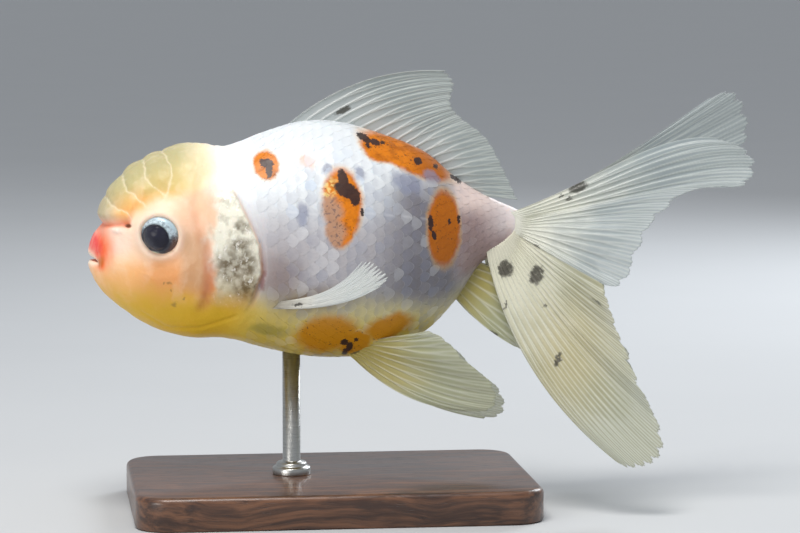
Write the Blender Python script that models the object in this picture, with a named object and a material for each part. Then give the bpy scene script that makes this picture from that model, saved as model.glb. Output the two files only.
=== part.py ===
"""Fancy goldfish, a young calico oranda, as a still life-size model on a plain display stand.

The fish swims towards -X with its left flank towards -Y. The origin is the middle of the
stand's underside, so the floor is z = 0. The body is one loft of egg-shaped sections, parted
into head, jaws, wen, gill covers, trunk and tail stalk by thin cuts. Each fin is a thin closed
sheet spanned by its rays, from a root inside the body to a rounded margin.

All sizes in the tables are millimetres; MM turns them into metres when a mesh is made.
"""
import math

import bmesh
import bpy
import numpy as np

MM = 0.001
GAP = 0.3                     # clearance that parts two neighbouring pieces

# Body sections from the snout to the end of the tail stalk:
# place along X, height of the back, height of the belly, half width, height of the widest line.
SECTIONS = (
    (-43.2, 46.6, 45.4, 0.5, 46.0),
    (-43.0, 48.0, 43.6, 2.5, 45.9),
    (-42.3, 49.6, 42.3, 4.2, 45.9),
    (-41.0, 51.3, 40.8, 5.8, 46.2),
    (-38.6, 54.4, 38.8, 7.9, 46.6),
    (-34.8, 59.5, 35.6, 9.9, 47.0),
    (-30.2, 62.7, 32.7, 11.4, 47.4),
    (-25.0, 64.3, 31.4, 12.8, 47.2),
    (-19.0, 64.9, 30.9, 13.9, 46.9),
    (-12.0, 67.2, 28.9, 14.7, 46.6),
    (-5.0, 69.2, 27.6, 15.0, 46.7),
    (2.0, 69.3, 27.2, 14.8, 47.1),
    (10.0, 67.1, 28.0, 13.1, 47.9),
    (17.0, 64.2, 31.5, 10.2, 48.9),
    (22.5, 59.7, 36.9, 7.0, 49.4),
    (27.5, 56.5, 43.9, 4.2, 50.2),
    (33.4, 53.8, 46.2, 2.4, 50.0),
)
BACK_POWER = 1.85             # the back is arched more narrowly than an ellipse
BELLY_POWER = 2.25            # the belly is fuller than one
RING_POINTS = 32
RINGS_PER_SECTION = 2

# Wen: the raspberry growth that caps the head, above this line (x, z).
WEN_LINE = ((-45.0, 51.0), (-40.6, 51.6), (-36.4, 53.4), (-31.6, 57.0), (-25.0, 57.6),
            (-20.0, 61.0), (-17.4, 68.0))
WEN_SWELL = ((-42.0, 4.2), (-38.0, 3.2), (-33.0, 2.6), (-26.0, 1.8), (-18.0, 1.2))
WEN_SHOULDER = ((-42.0, 2.0), (-36.0, 3.0))    # height over which the growth reaches its swell
NECK_LINE = ((-17.2, 72.0), (-17.4, 65.0), (-18.6, 59.5), (-16.4, 54.6), (-13.9, 49.0),
             (-13.5, 44.0), (-15.4, 38.6), (-18.6, 32.6), (-20.0, 25.0))
GILL_LINE = ((-12.0, 58.6), (-18.6, 57.6), (-22.2, 53.4), (-23.2, 46.6), (-22.4, 40.6),
             (-19.6, 36.4), (-12.0, 34.6))
GILL_DEPTH = 8.0              # the gill covers reach in to this distance from the midplane
MUZZLE_LINE = ((-42.6, 54.0), (-40.6, 50.6), (-39.8, 47.6), (-39.5, 44.8), (-38.6, 42.4),
               (-37.2, 39.4), (-36.4, 35.0))
MOUTH_HEIGHT = 44.8           # the mouth slit opens forward from its corner
MOUTH_BACK = -39.0
MOUTH_FRONT = -50.0
MOUTH_GAPE = 1.9              # height of the slit's wedge at MOUTH_FRONT
STALK_START = 24.0

EYE_CENTRE = (-30.7, 10.1, 50.6)
EYE_RADIUS = 3.55
EYE_DEPTH = 2.9
EYE_FORWARD = math.radians(16)
EYE_DOWN = math.radians(6)

FIN_EDGE = 0.5
FIN_ROOT = 1.1
FORK_GAP = 0.25

BASE_SIZE = (72.0, 48.0, 6.0)
BASE_CORNER = 6.0
BASE_CHAMFER = 0.8
ROD_X = -7.0
ROD_RADIUS = 1.6
COLLAR_RADIUS = 3.4
COLLAR_HEIGHT = 2.0


def spline(keys, steps):
    """Smooth curve through the keys; steps counts along them, so 1.5 is halfway from 1 to 2."""
    keys = np.asarray(keys, float)
    padded = np.vstack([2 * keys[0] - keys[1], keys, 2 * keys[-1] - keys[-2]])
    steps = np.clip(np.asarray(steps, float), 0, len(keys) - 1)
    cell = np.minimum(steps.astype(int), len(keys) - 2)
    t = (steps - cell)[..., None]
    before, start, end, after = (padded[cell + i] for i in range(4))
    bend = 2 * before - 5 * start + 4 * end - after
    twist = 3 * start - before - 3 * end + after
    return 0.5 * (2 * start + (end - before) * t + bend * t ** 2 + twist * t ** 3)


def smooth_step(value):
    value = np.clip(value, 0, 1)
    return value * value * (3 - 2 * value)


def make_object(name, vertices, faces, material=None):
    """Mesh object from millimetre points, with its faces turned outward."""
    mesh = bpy.data.meshes.new(name)
    mesh.from_pydata([tuple(float(c) * MM for c in v) for v in vertices], [], faces)
    shape = bmesh.new()
    shape.from_mesh(mesh)
    bmesh.ops.recalc_face_normals(shape, faces=shape.faces)
    shape.to_mesh(mesh)
    shape.free()
    mesh.shade_smooth()
    piece = bpy.data.objects.new(name, mesh)
    bpy.context.collection.objects.link(piece)
    if material:
        mesh.materials.append(material)
    return piece


def make_material(name, colour, roughness, metallic=0.0):
    material = bpy.data.materials.new(name)
    material.use_nodes = True
    shader = material.node_tree.nodes["Principled BSDF"]
    shader.inputs["Base Color"].default_value = (*colour, 1)
    shader.inputs["Roughness"].default_value = roughness
    shader.inputs["Metallic"].default_value = metallic
    return material


def use_cutter(piece, cutter, operation="DIFFERENCE"):
    """Cut one piece by another, which stays in the file as a hidden wire shape."""
    cutter.hide_render = True
    cutter.display_type = "WIRE"
    modifier = piece.modifiers.new(cutter.name, "BOOLEAN")
    modifier.operation = operation
    modifier.solver = "EXACT"
    modifier.object = cutter


# ---------------------------------------------------------------- body

def body_points(swell=0.0):
    """Grid of body points, ring by ring, from the back round the left flank to the back."""
    steps = np.linspace(0, len(SECTIONS) - 1, RINGS_PER_SECTION * (len(SECTIONS) - 1) + 1)
    x, back, belly, half, widest = spline(SECTIONS, steps).T
    turn = np.arange(RING_POINTS) * 2 * math.pi / RING_POINTS
    side = -np.sin(turn)[None, :]
    rise = np.cos(turn)[None, :]
    power = np.where(rise > 0, BACK_POWER, BELLY_POWER)
    reach = np.where(rise > 0, (back - widest)[:, None], (widest - belly)[:, None])
    points = np.empty((len(x), RING_POINTS, 3))
    points[..., 0] = x[:, None]
    points[..., 1] = half[:, None] * np.sign(side) * np.abs(side) ** (2 / power)
    points[..., 2] = widest[:, None] + reach * np.sign(rise) * np.abs(rise) ** (2 / power)
    along = np.gradient(points, axis=0)
    around = (np.roll(points, -1, axis=1) - np.roll(points, 1, axis=1)) / 2
    normal = np.cross(around, along)
    normal /= np.linalg.norm(normal, axis=2, keepdims=True)
    line_x, line_z = np.array(WEN_LINE).T
    above = points[..., 2] - np.interp(points[..., 0], line_x, line_z)
    shoulder = np.interp(points[..., 0], *np.array(WEN_SHOULDER).T)
    wen = np.interp(points[..., 0], *np.array(WEN_SWELL).T) * smooth_step(above / shoulder)
    return points + normal * (wen + swell)[..., None]


def body_mesh(name, swell=0.0, material=None):
    rings = body_points(swell)
    count = len(rings)
    vertices = list(rings.reshape(-1, 3))
    faces = []
    for i in range(count - 1):
        for j in range(RING_POINTS):
            k = (j + 1) % RING_POINTS
            a, b = i * RING_POINTS, (i + 1) * RING_POINTS
            faces.append((a + j, a + k, b + k, b + j))
    for ring in (0, count - 1):
        middle = rings[ring].mean(axis=0)
        outward = -1 if ring == 0 else 1
        middle[0] += outward * (0.15 + swell)
        vertices.append(middle)
        hub = len(vertices) - 1
        for j in range(RING_POINTS):
            k = (j + 1) % RING_POINTS
            faces.append((ring * RING_POINTS + j, ring * RING_POINTS + k, hub))
    return make_object(name, vertices, faces, material)


def slab(name, outline, near, far):
    """Closed slab between two distances from the midplane, on an outline of (x, z) points."""
    count = len(outline)
    vertices = [(x, near, z) for x, z in outline] + [(x, far, z) for x, z in outline]
    faces = [tuple(range(count)), tuple(range(2 * count - 1, count - 1, -1))]
    faces += [(i, (i + 1) % count, count + (i + 1) % count, count + i) for i in range(count)]
    return make_object(name, vertices, faces)


def shifted(line, distance):
    """The smooth line through the key points, moved sideways to its left by a distance."""
    steps = np.linspace(0, len(line) - 1, 3 * (len(line) - 1) + 1)
    points = spline(line, steps)
    run = np.gradient(points, axis=0)
    left = np.stack([-run[:, 1], run[:, 0]], axis=1) / np.linalg.norm(run, axis=1)[:, None]
    return [tuple(p) for p in points + left * distance]


FAR = 90.0                    # beyond the fish on every side


def build_body():
    flesh = make_material("flesh", (0.80, 0.76, 0.66), 0.35)
    wen_skin = make_material("wen", (0.90, 0.66, 0.30), 0.4)
    lip_skin = make_material("lips", (0.86, 0.30, 0.22), 0.35)
    gill_skin = make_material("gill_cover", (0.78, 0.77, 0.70), 0.25)
    half = GAP / 2
    sides = {"left": -1, "right": 1}

    # The neck line runs down, so its left side is the trunk.
    head_zone = slab("cut_head", shifted(NECK_LINE, -half) + [(-FAR, 0), (-FAR, FAR)], -FAR, FAR)
    trunk_outline = shifted(NECK_LINE, half) + [(STALK_START - half, 0),
                                                (STALK_START - half, FAR)]
    trunk_zone = slab("cut_trunk", trunk_outline, -FAR, FAR)
    stalk_outline = [(STALK_START + half, 0), (FAR, 0), (FAR, FAR), (STALK_START + half, FAR)]
    stalk_zone = slab("cut_stalk", stalk_outline, -FAR, FAR)

    def wen_zone(name, offset):
        line = shifted(WEN_LINE, offset)
        return slab(name, line + [(line[-1][0], FAR), (-FAR, FAR), (-FAR, line[0][1])], -FAR, FAR)

    def muzzle_zone(name, offset):
        line = shifted(MUZZLE_LINE, offset)
        return slab(name, line + [(-FAR, line[-1][1]), (-FAR, line[0][1])], -FAR, FAR)

    def lip_zone(name):
        edge = [(MOUTH_FRONT, MOUTH_HEIGHT + MOUTH_GAPE), (MOUTH_BACK, MOUTH_HEIGHT + half)]
        return slab(name, edge + [(MOUTH_BACK, FAR), (MOUTH_FRONT, FAR)], -FAR, FAR)

    def jaw_zone(name):
        edge = [(MOUTH_FRONT, MOUTH_HEIGHT), (MOUTH_BACK, MOUTH_HEIGHT - half)]
        return slab(name, edge + [(FAR, MOUTH_HEIGHT - half), (FAR, 0), (MOUTH_FRONT, 0)],
                    -FAR, FAR)

    def gill_zone(name, side, offset):
        line = shifted(GILL_LINE, offset)
        line = [(0, line[0][1])] + line + [(0, line[-1][1])]
        near = side * (GILL_DEPTH + offset)
        return slab(name, line, near, side * FAR)

    head = body_mesh("head", material=flesh)
    use_cutter(head, head_zone, "INTERSECT")
    use_cutter(head, wen_zone("cut_wen_room", -half))
    use_cutter(head, muzzle_zone("cut_muzzle_room", half))

    wen = body_mesh("wen", material=wen_skin)
    use_cutter(wen, head_zone, "INTERSECT")
    use_cutter(wen, wen_zone("cut_wen", half), "INTERSECT")
    muzzle = muzzle_zone("cut_muzzle", -half)
    upper_lip = body_mesh("upper_lip", material=lip_skin)
    use_cutter(upper_lip, muzzle, "INTERSECT")
    use_cutter(upper_lip, lip_zone("cut_lip"), "INTERSECT")
    use_cutter(upper_lip, wen_zone("cut_wen_lip", -half))
    lower_jaw = body_mesh("lower_jaw", material=lip_skin)
    use_cutter(lower_jaw, muzzle, "INTERSECT")
    use_cutter(lower_jaw, jaw_zone("cut_jaw"), "INTERSECT")

    for side_name, side in sides.items():
        cover = body_mesh("gill_cover_" + side_name, material=gill_skin)
        use_cutter(cover, head_zone, "INTERSECT")
        use_cutter(cover, gill_zone("cut_gill_" + side_name, side, half), "INTERSECT")
        use_cutter(cover, wen_zone("cut_wen_" + side_name, -half))
        use_cutter(head, gill_zone("cut_gill_room_" + side_name, side, -half))
        socket = eyeball("cut_socket_" + side_name, side, GAP)
        use_cutter(head, socket)
        eyeball("eye_" + side_name, side, 0.0,
                make_material("eye_" + side_name, (0.55, 0.56, 0.57), 0.08))

    trunk = body_mesh("trunk", material=flesh)
    use_cutter(trunk, trunk_zone, "INTERSECT")
    stalk = body_mesh("tail_stalk", material=flesh)
    use_cutter(stalk, stalk_zone, "INTERSECT")


def eyeball(name, side, swell, material=None):
    """Flattened ball, its axis turned a little forward and down."""
    segments, rings = 18, 10
    ball = bmesh.new()
    bmesh.ops.create_uvsphere(ball, u_segments=segments, v_segments=rings, radius=1.0)
    radius, depth = EYE_RADIUS + swell, EYE_DEPTH + swell
    out = np.array([-math.sin(EYE_FORWARD), side * math.cos(EYE_FORWARD), -math.sin(EYE_DOWN)])
    out /= np.linalg.norm(out)
    across = np.cross(out, (0, 0, 1))
    across /= np.linalg.norm(across)
    up = np.cross(across, out)
    centre = np.array((EYE_CENTRE[0], side * EYE_CENTRE[1], EYE_CENTRE[2]))
    vertices = [centre + radius * (v.co.x * across + v.co.y * up) + depth * v.co.z * out
                for v in ball.verts]
    faces = [tuple(v.index for v in f.verts) for f in ball.faces]
    ball.free()
    return make_object(name, vertices, faces, material)


# ---------------------------------------------------------------- fins

def fin(name, root, tips, bow, columns, rows, material, lag=1.0, pleats=0, pleat_depth=0.0):
    """Thin closed sheet of rays.

    root, tips and bow are rows of key points from the leading ray to the last one: where each
    ray starts, where it ends, and how far its middle is pushed off the straight line. A lag
    above 1 moves the widest part of that bow towards the tips, one below 1 towards the root.
    """
    u = np.linspace(0, 1, columns + 1)[:, None] * np.ones((1, rows + 1))
    v = np.ones((columns + 1, 1)) * np.linspace(0, 1, rows + 1)[None, :]
    start = spline(root, u * (len(root) - 1))
    end = spline(tips, u * (len(tips) - 1))
    push = spline(bow, u * (len(bow) - 1))
    middle = start + (end - start) * v[..., None] + push * (4 * v ** lag * (1 - v ** lag))[..., None]

    def normals(points):
        normal = np.cross(np.gradient(points, axis=0), np.gradient(points, axis=1))
        return normal / np.linalg.norm(normal, axis=2, keepdims=True)

    if pleats:
        wave = pleat_depth * v ** 1.3 * np.sin(2 * math.pi * pleats * u)
        middle = middle + normals(middle) * wave[..., None]
    thick = FIN_ROOT + (FIN_EDGE - FIN_ROOT) * np.minimum(1, v * 3)
    offset = normals(middle) * thick[..., None] / 2
    front, behind = middle + offset, middle - offset
    vertices = list(front.reshape(-1, 3)) + list(behind.reshape(-1, 3))
    step = rows + 1
    back = (columns + 1) * step
    faces = []
    for i in range(columns):
        for j in range(rows):
            a = i * step + j
            faces.append((a, a + 1, a + step + 1, a + step))
            faces.append((back + a + step, back + a + step + 1, back + a + 1, back + a))
    rim = [(i * step, (i + 1) * step) for i in range(columns)]
    rim += [((i + 1) * step + rows, i * step + rows) for i in range(columns)]
    rim += [(j + 1, j) for j in range(rows)]
    rim += [(columns * step + j, columns * step + j + 1) for j in range(rows)]
    faces += [(a, b, back + b, back + a) for a, b in rim]
    return make_object(name, vertices, faces, material)


def mirrored(keys, side):
    return [(x, side * abs(y), z) for x, y, z in keys]


DORSAL_ROOT = ((-8.6, 0, 67.2), (0, 0, 68.4), (9, 0, 66.2), (15, 0, 63.8), (20, 0, 60.4),
               (23.6, 0, 57.4))
DORSAL_TIPS = ((21.2, 0.9, 78.4), (22.6, 1.2, 76.0), (22.1, 1.0, 72.5), (23.8, 0.6, 70.2),
               (28.5, 0.0, 66.1), (31.6, -0.6, 60.3), (34.0, -0.8, 55.2))
DORSAL_BOW = ((-0.8, 0.6, 3.8), (-0.2, 0.6, 1.2), (0, 0.4, 0.5), (0, -0.3, 0.4), (0, 0, -0.2))

PECTORAL_ROOT = ((-13.6, 12.4, 37.4), (-12.8, 12.8, 38.4), (-12.2, 13.0, 39.6))
PECTORAL_TIPS = ((6.4, 25.6, 42.8), (7.6, 25.0, 44.2), (6.8, 22.8, 45.4), (5.6, 20.6, 46.3),
                 (3.8, 18.6, 46.4))
PECTORAL_BOW = ((1.2, 0.6, -2.4), (1.0, 0.8, -2.4), (0.4, 0.6, -2.4))

PELVIC_ROOT = ((2.4, 4.6, 29.0), (4.4, 6.2, 29.8), (6.4, 7.6, 31.0))
PELVIC_TIPS = ((24.6, 10.6, 18.4), (27.4, 11.4, 18.7), (28.7, 12.0, 20.6), (27.5, 12.6, 23.9),
               (23.0, 12.6, 27.7), (19.2, 12.0, 31.6), (16.4, 11.4, 33.0))
PELVIC_BOW = ((-1.0, 1.0, -2.6), (0, 1.0, -1.0), (0.6, 1.2, 0.2))
FAR_PELVIC_SHIFT = (5.0, 0.0, -4.6)

ANAL_ROOT = ((21.6, 1.1, 39.0), (23.6, 1.1, 41.6), (25.4, 1.0, 44.4))
ANAL_TIPS = ((32.8, 5.4, 29.2), (35.2, 5.6, 28.4), (37.2, 5.0, 31.0), (37.6, 4.0, 34.6),
             (36.2, 2.8, 38.4), (33.4, 1.8, 41.2))
ANAL_BOW = ((-0.6, 0.4, -0.6), (0, 0.3, 0), (0.2, 0.1, 0.2))

# Tail: rays of the upper lobe run from the top edge to the fork, those of the lower lobe
# from the fork to the bottom edge. The two halves meet along the top edge and spread below.
TAIL_PLEATS = 3
TAIL_PLEAT_DEPTH = 0.7
FORK_ROOT = (33.2, 1.7, 49.4)
UPPER_ROOT = ((31.6, 0.75, 52.6), (32.6, 1.1, 51.6), (33.4, 1.5, 50.6), FORK_ROOT)
LOWER_ROOT = (FORK_ROOT, (32.2, 1.9, 48.4), (30.4, 2.0, 47.2), (28.0, 2.0, 46.2))
LEFT_UPPER_TIPS = ((69.4, 8.0, 66.7), (73.0, 9.0, 65.4), (75.4, 9.8, 62.2), (73.8, 10.4, 58.7),
                   (68.0, 11.0, 57.4), (62.0, 11.2, 56.6), (58.0, 11.6, 53.6),
                   (55.8, 12.2, 50.2), (53.6, 12.8, 45.8), (51.4, 13.0, 41.8),
                   (47.8, 12.8, 41.0))
LEFT_LOWER_TIPS = ((47.8, 12.8, 40.8), (49.2, 14.4, 36.2), (50.2, 15.6, 31.0),
                   (53.2, 17.2, 25.0), (55.8, 18.6, 18.8), (57.3, 19.8, 12.6),
                   (55.6, 20.2, 9.2), (52.4, 20.0, 8.8), (49.2, 19.4, 9.9))
RIGHT_UPPER_TIPS = ((71.0, 8.0, 73.0), (75.0, 9.0, 74.2), (78.0, 9.8, 71.4), (79.0, 10.2, 65.8),
                    (74.6, 10.8, 61.4), (68.0, 11.2, 60.0), (63.4, 11.8, 56.4),
                    (60.4, 12.4, 52.0), (57.4, 13.0, 47.4), (54.6, 13.2, 43.4),
                    (51.2, 13.0, 42.0))
RIGHT_LOWER_TIPS = ((51.2, 13.0, 41.8), (52.6, 14.6, 37.0), (54.2, 16.0, 31.0),
                    (57.4, 17.4, 24.8), (59.2, 18.8, 18.8), (59.4, 19.8, 14.4),
                    (57.8, 20.2, 11.8), (54.8, 20.0, 11.4), (51.8, 19.4, 12.6))
LEFT_UPPER_BOW = ((-0.6, -1.6, 2.0), (0, -1.2, 1.0), (0, -0.8, 0.2), (0, -0.6, -0.2))
RIGHT_UPPER_BOW = ((0, -1.6, -1.8), (0, -1.2, -1.2), (0, -0.8, -0.4), (0, -0.6, -0.2))
LOWER_BOW = ((0, -0.6, -0.2), (-0.4, -0.6, -0.6), (-1.8, -0.4, -1.2), (-3.6, 0.2, -2.2))


def build_fins():
    body_room = body_mesh("cut_body_room", GAP)
    membrane = make_material("fin_membrane", (0.62, 0.63, 0.58), 0.3)
    amber = make_material("fin_amber", (0.60, 0.50, 0.24), 0.3)

    fins = [fin("dorsal_fin", DORSAL_ROOT, DORSAL_TIPS, DORSAL_BOW, 18, 5, membrane)]
    for name, side in (("left", -1), ("right", 1)):
        fins.append(fin("pectoral_fin_" + name, mirrored(PECTORAL_ROOT, side),
                        mirrored(PECTORAL_TIPS, side), signed(PECTORAL_BOW, side), 8, 6,
                        membrane))
        pelvic_tips = mirrored(PELVIC_TIPS, side)
        if side > 0:
            pelvic_tips = [tuple(np.add(p, FAR_PELVIC_SHIFT)) for p in pelvic_tips]
        fins.append(fin("pelvic_fin_" + name, mirrored(PELVIC_ROOT, side), pelvic_tips,
                        signed(PELVIC_BOW, side), 12, 6, amber))
        fins.append(fin("anal_fin_" + name, mirrored(ANAL_ROOT, side),
                        mirrored(ANAL_TIPS, side), signed(ANAL_BOW, side), 8, 5, membrane))
    lobes = (("left_upper", -1, UPPER_ROOT, LEFT_UPPER_TIPS, LEFT_UPPER_BOW, 2.2, FORK_GAP),
             ("left_lower", -1, LOWER_ROOT, LEFT_LOWER_TIPS, LOWER_BOW, 1.0, -FORK_GAP),
             ("right_upper", 1, UPPER_ROOT, RIGHT_UPPER_TIPS, RIGHT_UPPER_BOW, 0.6, FORK_GAP),
             ("right_lower", 1, LOWER_ROOT, RIGHT_LOWER_TIPS, LOWER_BOW, 1.0, -FORK_GAP))
    for name, side, root, tips, bow, lag, lift in lobes:
        lifted = [(x, side * y, z + lift) for x, y, z in root]
        raised = [(x, side * y, z + lift) for x, y, z in tips]
        fins.append(fin("tail_" + name, lifted, raised, signed(bow, side), 14, 6, membrane,
                        lag, TAIL_PLEATS, TAIL_PLEAT_DEPTH))
    for piece in fins:
        use_cutter(piece, body_room)


def signed(keys, side):
    """Push each ray outward to its own side of the fish."""
    return [(x, side * y, z) for x, y, z in keys]


# ---------------------------------------------------------------- stand

def rounded_plate(name, size, corner, chamfer, material):
    """Flat plate with rounded corners and a chamfered upper edge."""
    length, width, height = size
    arc_steps = 6

    def loop(inset, z):
        points = []
        radius = corner - inset
        for quarter in range(4):
            sx = (1, -1, -1, 1)[quarter]
            sy = (1, 1, -1, -1)[quarter]
            for i in range(arc_steps + 1):
                turn = math.radians(90 * quarter + 90 * i / arc_steps)
                points.append((sx * (length / 2 - corner) + radius * math.cos(turn),
                               sy * (width / 2 - corner) + radius * math.sin(turn), z))
        return points

    loops = [loop(0, 0), loop(0, height - chamfer), loop(chamfer, height)]
    count = len(loops[0])
    vertices = [p for ring in loops for p in ring]
    faces = [tuple(reversed(range(count))), tuple(range(2 * count, 3 * count))]
    for level in range(2):
        for i in range(count):
            k = (i + 1) % count
            a = level * count
            faces.append((a + i, a + k, a + count + k, a + count + i))
    plate = make_object(name, vertices, faces, material)
    plate.data.set_sharp_from_angle(angle=math.radians(30))
    return plate


def turned(name, profile, x, material, sides=24):
    """Round piece turned about an upright axis, from (radius, height) points, base to top."""
    vertices = [(x, 0, profile[0][1])]
    for radius, z in profile:
        for i in range(sides):
            turn = 2 * math.pi * i / sides
            vertices.append((x + radius * math.cos(turn), radius * math.sin(turn), z))
    vertices.append((x, 0, profile[-1][1]))
    faces = []
    for i in range(sides):
        k = (i + 1) % sides
        faces.append((0, 1 + k, 1 + i))
        for level in range(len(profile) - 1):
            a = 1 + level * sides
            faces.append((a + i, a + k, a + sides + k, a + sides + i))
        top = 1 + (len(profile) - 1) * sides
        faces.append((top + i, top + k, len(vertices) - 1))
    piece = make_object(name, vertices, faces, material)
    piece.data.set_sharp_from_angle(angle=math.radians(40))
    return piece


def build_stand():
    wood = make_material("stand_wood", (0.10, 0.06, 0.04), 0.45)
    steel = make_material("stand_steel", (0.62, 0.62, 0.60), 0.3, 1.0)
    rounded_plate("stand_base", BASE_SIZE, BASE_CORNER, BASE_CHAMFER, wood)
    floor = BASE_SIZE[2] + GAP
    belly = 32.0
    profile = ((COLLAR_RADIUS, floor), (COLLAR_RADIUS, floor + COLLAR_HEIGHT * 0.6),
               (COLLAR_RADIUS * 0.8, floor + COLLAR_HEIGHT), (ROD_RADIUS, floor + COLLAR_HEIGHT),
               (ROD_RADIUS, belly))
    rod = turned("stand_rod", profile, ROD_X, steel)
    use_cutter(rod, body_mesh("cut_rod_room", GAP))


for old in list(bpy.data.objects):
    bpy.data.objects.remove(old, do_unlink=True)
build_body()
build_fins()
build_stand()
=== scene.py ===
import math
from functools import partialmethod

import bpy
import numpy as np
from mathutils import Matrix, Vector, noise


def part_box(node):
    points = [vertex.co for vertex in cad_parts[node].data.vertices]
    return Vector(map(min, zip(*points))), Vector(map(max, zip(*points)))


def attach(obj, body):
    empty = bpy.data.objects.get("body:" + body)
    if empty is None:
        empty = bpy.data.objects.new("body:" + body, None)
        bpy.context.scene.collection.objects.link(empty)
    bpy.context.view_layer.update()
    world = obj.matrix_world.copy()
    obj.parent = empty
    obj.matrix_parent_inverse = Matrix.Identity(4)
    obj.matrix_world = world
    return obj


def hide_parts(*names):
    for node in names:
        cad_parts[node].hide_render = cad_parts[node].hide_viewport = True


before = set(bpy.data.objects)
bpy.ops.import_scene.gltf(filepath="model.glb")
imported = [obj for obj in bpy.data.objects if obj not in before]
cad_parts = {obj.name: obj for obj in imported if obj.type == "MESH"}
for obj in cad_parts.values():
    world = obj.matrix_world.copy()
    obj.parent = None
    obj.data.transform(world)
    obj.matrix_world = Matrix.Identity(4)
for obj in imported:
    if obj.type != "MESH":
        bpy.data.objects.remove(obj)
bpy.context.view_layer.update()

# A fancy goldfish, a young calico oranda, as a life-size museum model on a plain stand.
# It swims towards -X with its left flank towards -Y. Tables are in millimetres.
MM = 0.001
rng = np.random.default_rng(26)


# ---------------------------------------------------------------- setting
# A wide matt floor in pale grey, and the lamps of a small studio: one large soft box over the
# back, as the light of a tank falls, a weaker one at the front and one behind for the fins.

def tint(red, green, blue):
    """Linear colour from the 0 to 255 values of a paint chart."""
    return tuple(((c / 255 + 0.055) / 1.055) ** 2.4 if c > 10 else c / 255 / 12.92
                 for c in (red, green, blue))


AIM = (12.7, 0, 43.3)
CAMERA_TURN = math.radians(-7)
CAMERA_RISE = math.radians(6)
CAMERA_DISTANCE = 600
VIEW_WIDTH = 144              # what the frame spans at the fish
FILM = 36
FLOOR_REACH = 12              # metres
FLOOR_PAINT = tint(196, 198, 200)
AIR_COLOUR = (0.86, 0.9, 0.95)
AIR_STRENGTH = 0.5


class Wire:
    """A socket of a finish. Arithmetic on it adds the Math nodes that it takes."""

    def __init__(self, finish, socket):
        self.finish = finish
        self.socket = socket

    def math(self, operation, *others):
        return self.finish.node("Math", dict(enumerate((self, *others))), operation=operation)

    __add__ = partialmethod(math, "ADD")
    __sub__ = partialmethod(math, "SUBTRACT")
    __mul__ = partialmethod(math, "MULTIPLY")
    least = partialmethod(math, "MINIMUM")
    most = partialmethod(math, "MAXIMUM")

    def __rsub__(self, other):
        return self.finish.node("Math", {0: other, 1: self}, operation="SUBTRACT")

    def vector(self, operation, key, other):
        """Vector arithmetic; key is the socket that takes the other value."""
        return self.finish.node("VectorMath", {0: self, key: other}, operation=operation)

    def stretched(self, x, y, z):
        """A place with its axes multiplied, for noise that runs along one of them."""
        return self.vector("MULTIPLY", 1, (x, y, z))

    def axis(self, name):
        return self.finish.node("SeparateXYZ", {0: self}, name)

    def rise(self, low, high):
        """0 below low, 1 above high and a smooth step between them; low above high falls."""
        return self.finish.node("MapRange", {0: self, 1: low, 2: high, 3: 0, 4: 1},
                                interpolation_type="SMOOTHSTEP")

    def grain(self, scale, detail=2, roughness=0.5, output=0):
        """Noise at a place, finer with a larger scale."""
        return self.finish.node("TexNoise", {"Vector": self, "Scale": scale, "Detail": detail,
                                             "Roughness": roughness}, output)


class Finish:
    """A material whose nodes are added one by one."""

    def __init__(self, name):
        self.material = bpy.data.materials.new(name)
        self.material.use_nodes = True
        self.tree = self.material.node_tree
        self.shader = self.tree.nodes["Principled BSDF"]
        self.output = self.tree.nodes["Material Output"]
        self.body = Wire(self, self.shader.outputs[0])

    def feed(self, socket, value):
        if isinstance(value, Wire):
            self.tree.links.new(value.socket, socket)
        elif isinstance(value, tuple) and len(value) == 3 and socket.type == "RGBA":
            socket.default_value = (*value, 1)
        else:
            socket.default_value = value

    def node(self, kind, inputs=None, output=0, **settings):
        made = self.tree.nodes.new("ShaderNode" + kind)
        for key, value in settings.items():
            setattr(made, key, value)
        for key, value in (inputs or {}).items():
            self.feed(made.inputs[key], value)
        return Wire(self, made.outputs[output])

    def set(self, **values):
        """Values or links of the Principled shader, written with _ for a space."""
        for key, value in values.items():
            self.feed(self.shader.inputs[key.replace("_", " ")], value)

    def place(self):
        """The place on the object, in millimetres."""
        return self.node("TexCoord", output="Object").vector("SCALE", "Scale", 1 / MM)

    def mark(self, name):
        """A value that the mesh carries at its points."""
        return self.node("Attribute", output="Fac", attribute_name=name)

    def mix(self, below, above, share):
        return self.node("Mix", {0: share, 6: below, 7: above}, 2, data_type="RGBA")

    def coats(self, colour, *layers):
        """A colour with layers of (colour, share) laid over it, one after the other."""
        for above, share in layers:
            colour = self.mix(colour, above, share)
        return colour

    def bump(self, height, distance):
        """Relief of a height given in millimetres."""
        self.set(Normal=self.node("Bump", {"Height": height, "Distance": distance * MM}))

    def surface(self, wire):
        """Another shader in the place of the Principled one."""
        self.feed(self.output.inputs["Surface"], wire)


def flat_finish(name, colour, spread, scale, roughness):
    """Matt finish whose colour and gloss drift a little."""
    finish = Finish(name)
    drift = finish.place().grain(scale, 4)
    finish.set(Base_Color=finish.mix(tuple(c * (1 - spread) for c in colour), colour, drift),
               Roughness=drift * 0.1 + roughness)
    finish.bump(finish.place().grain(6), 0.02)
    return finish


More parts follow.
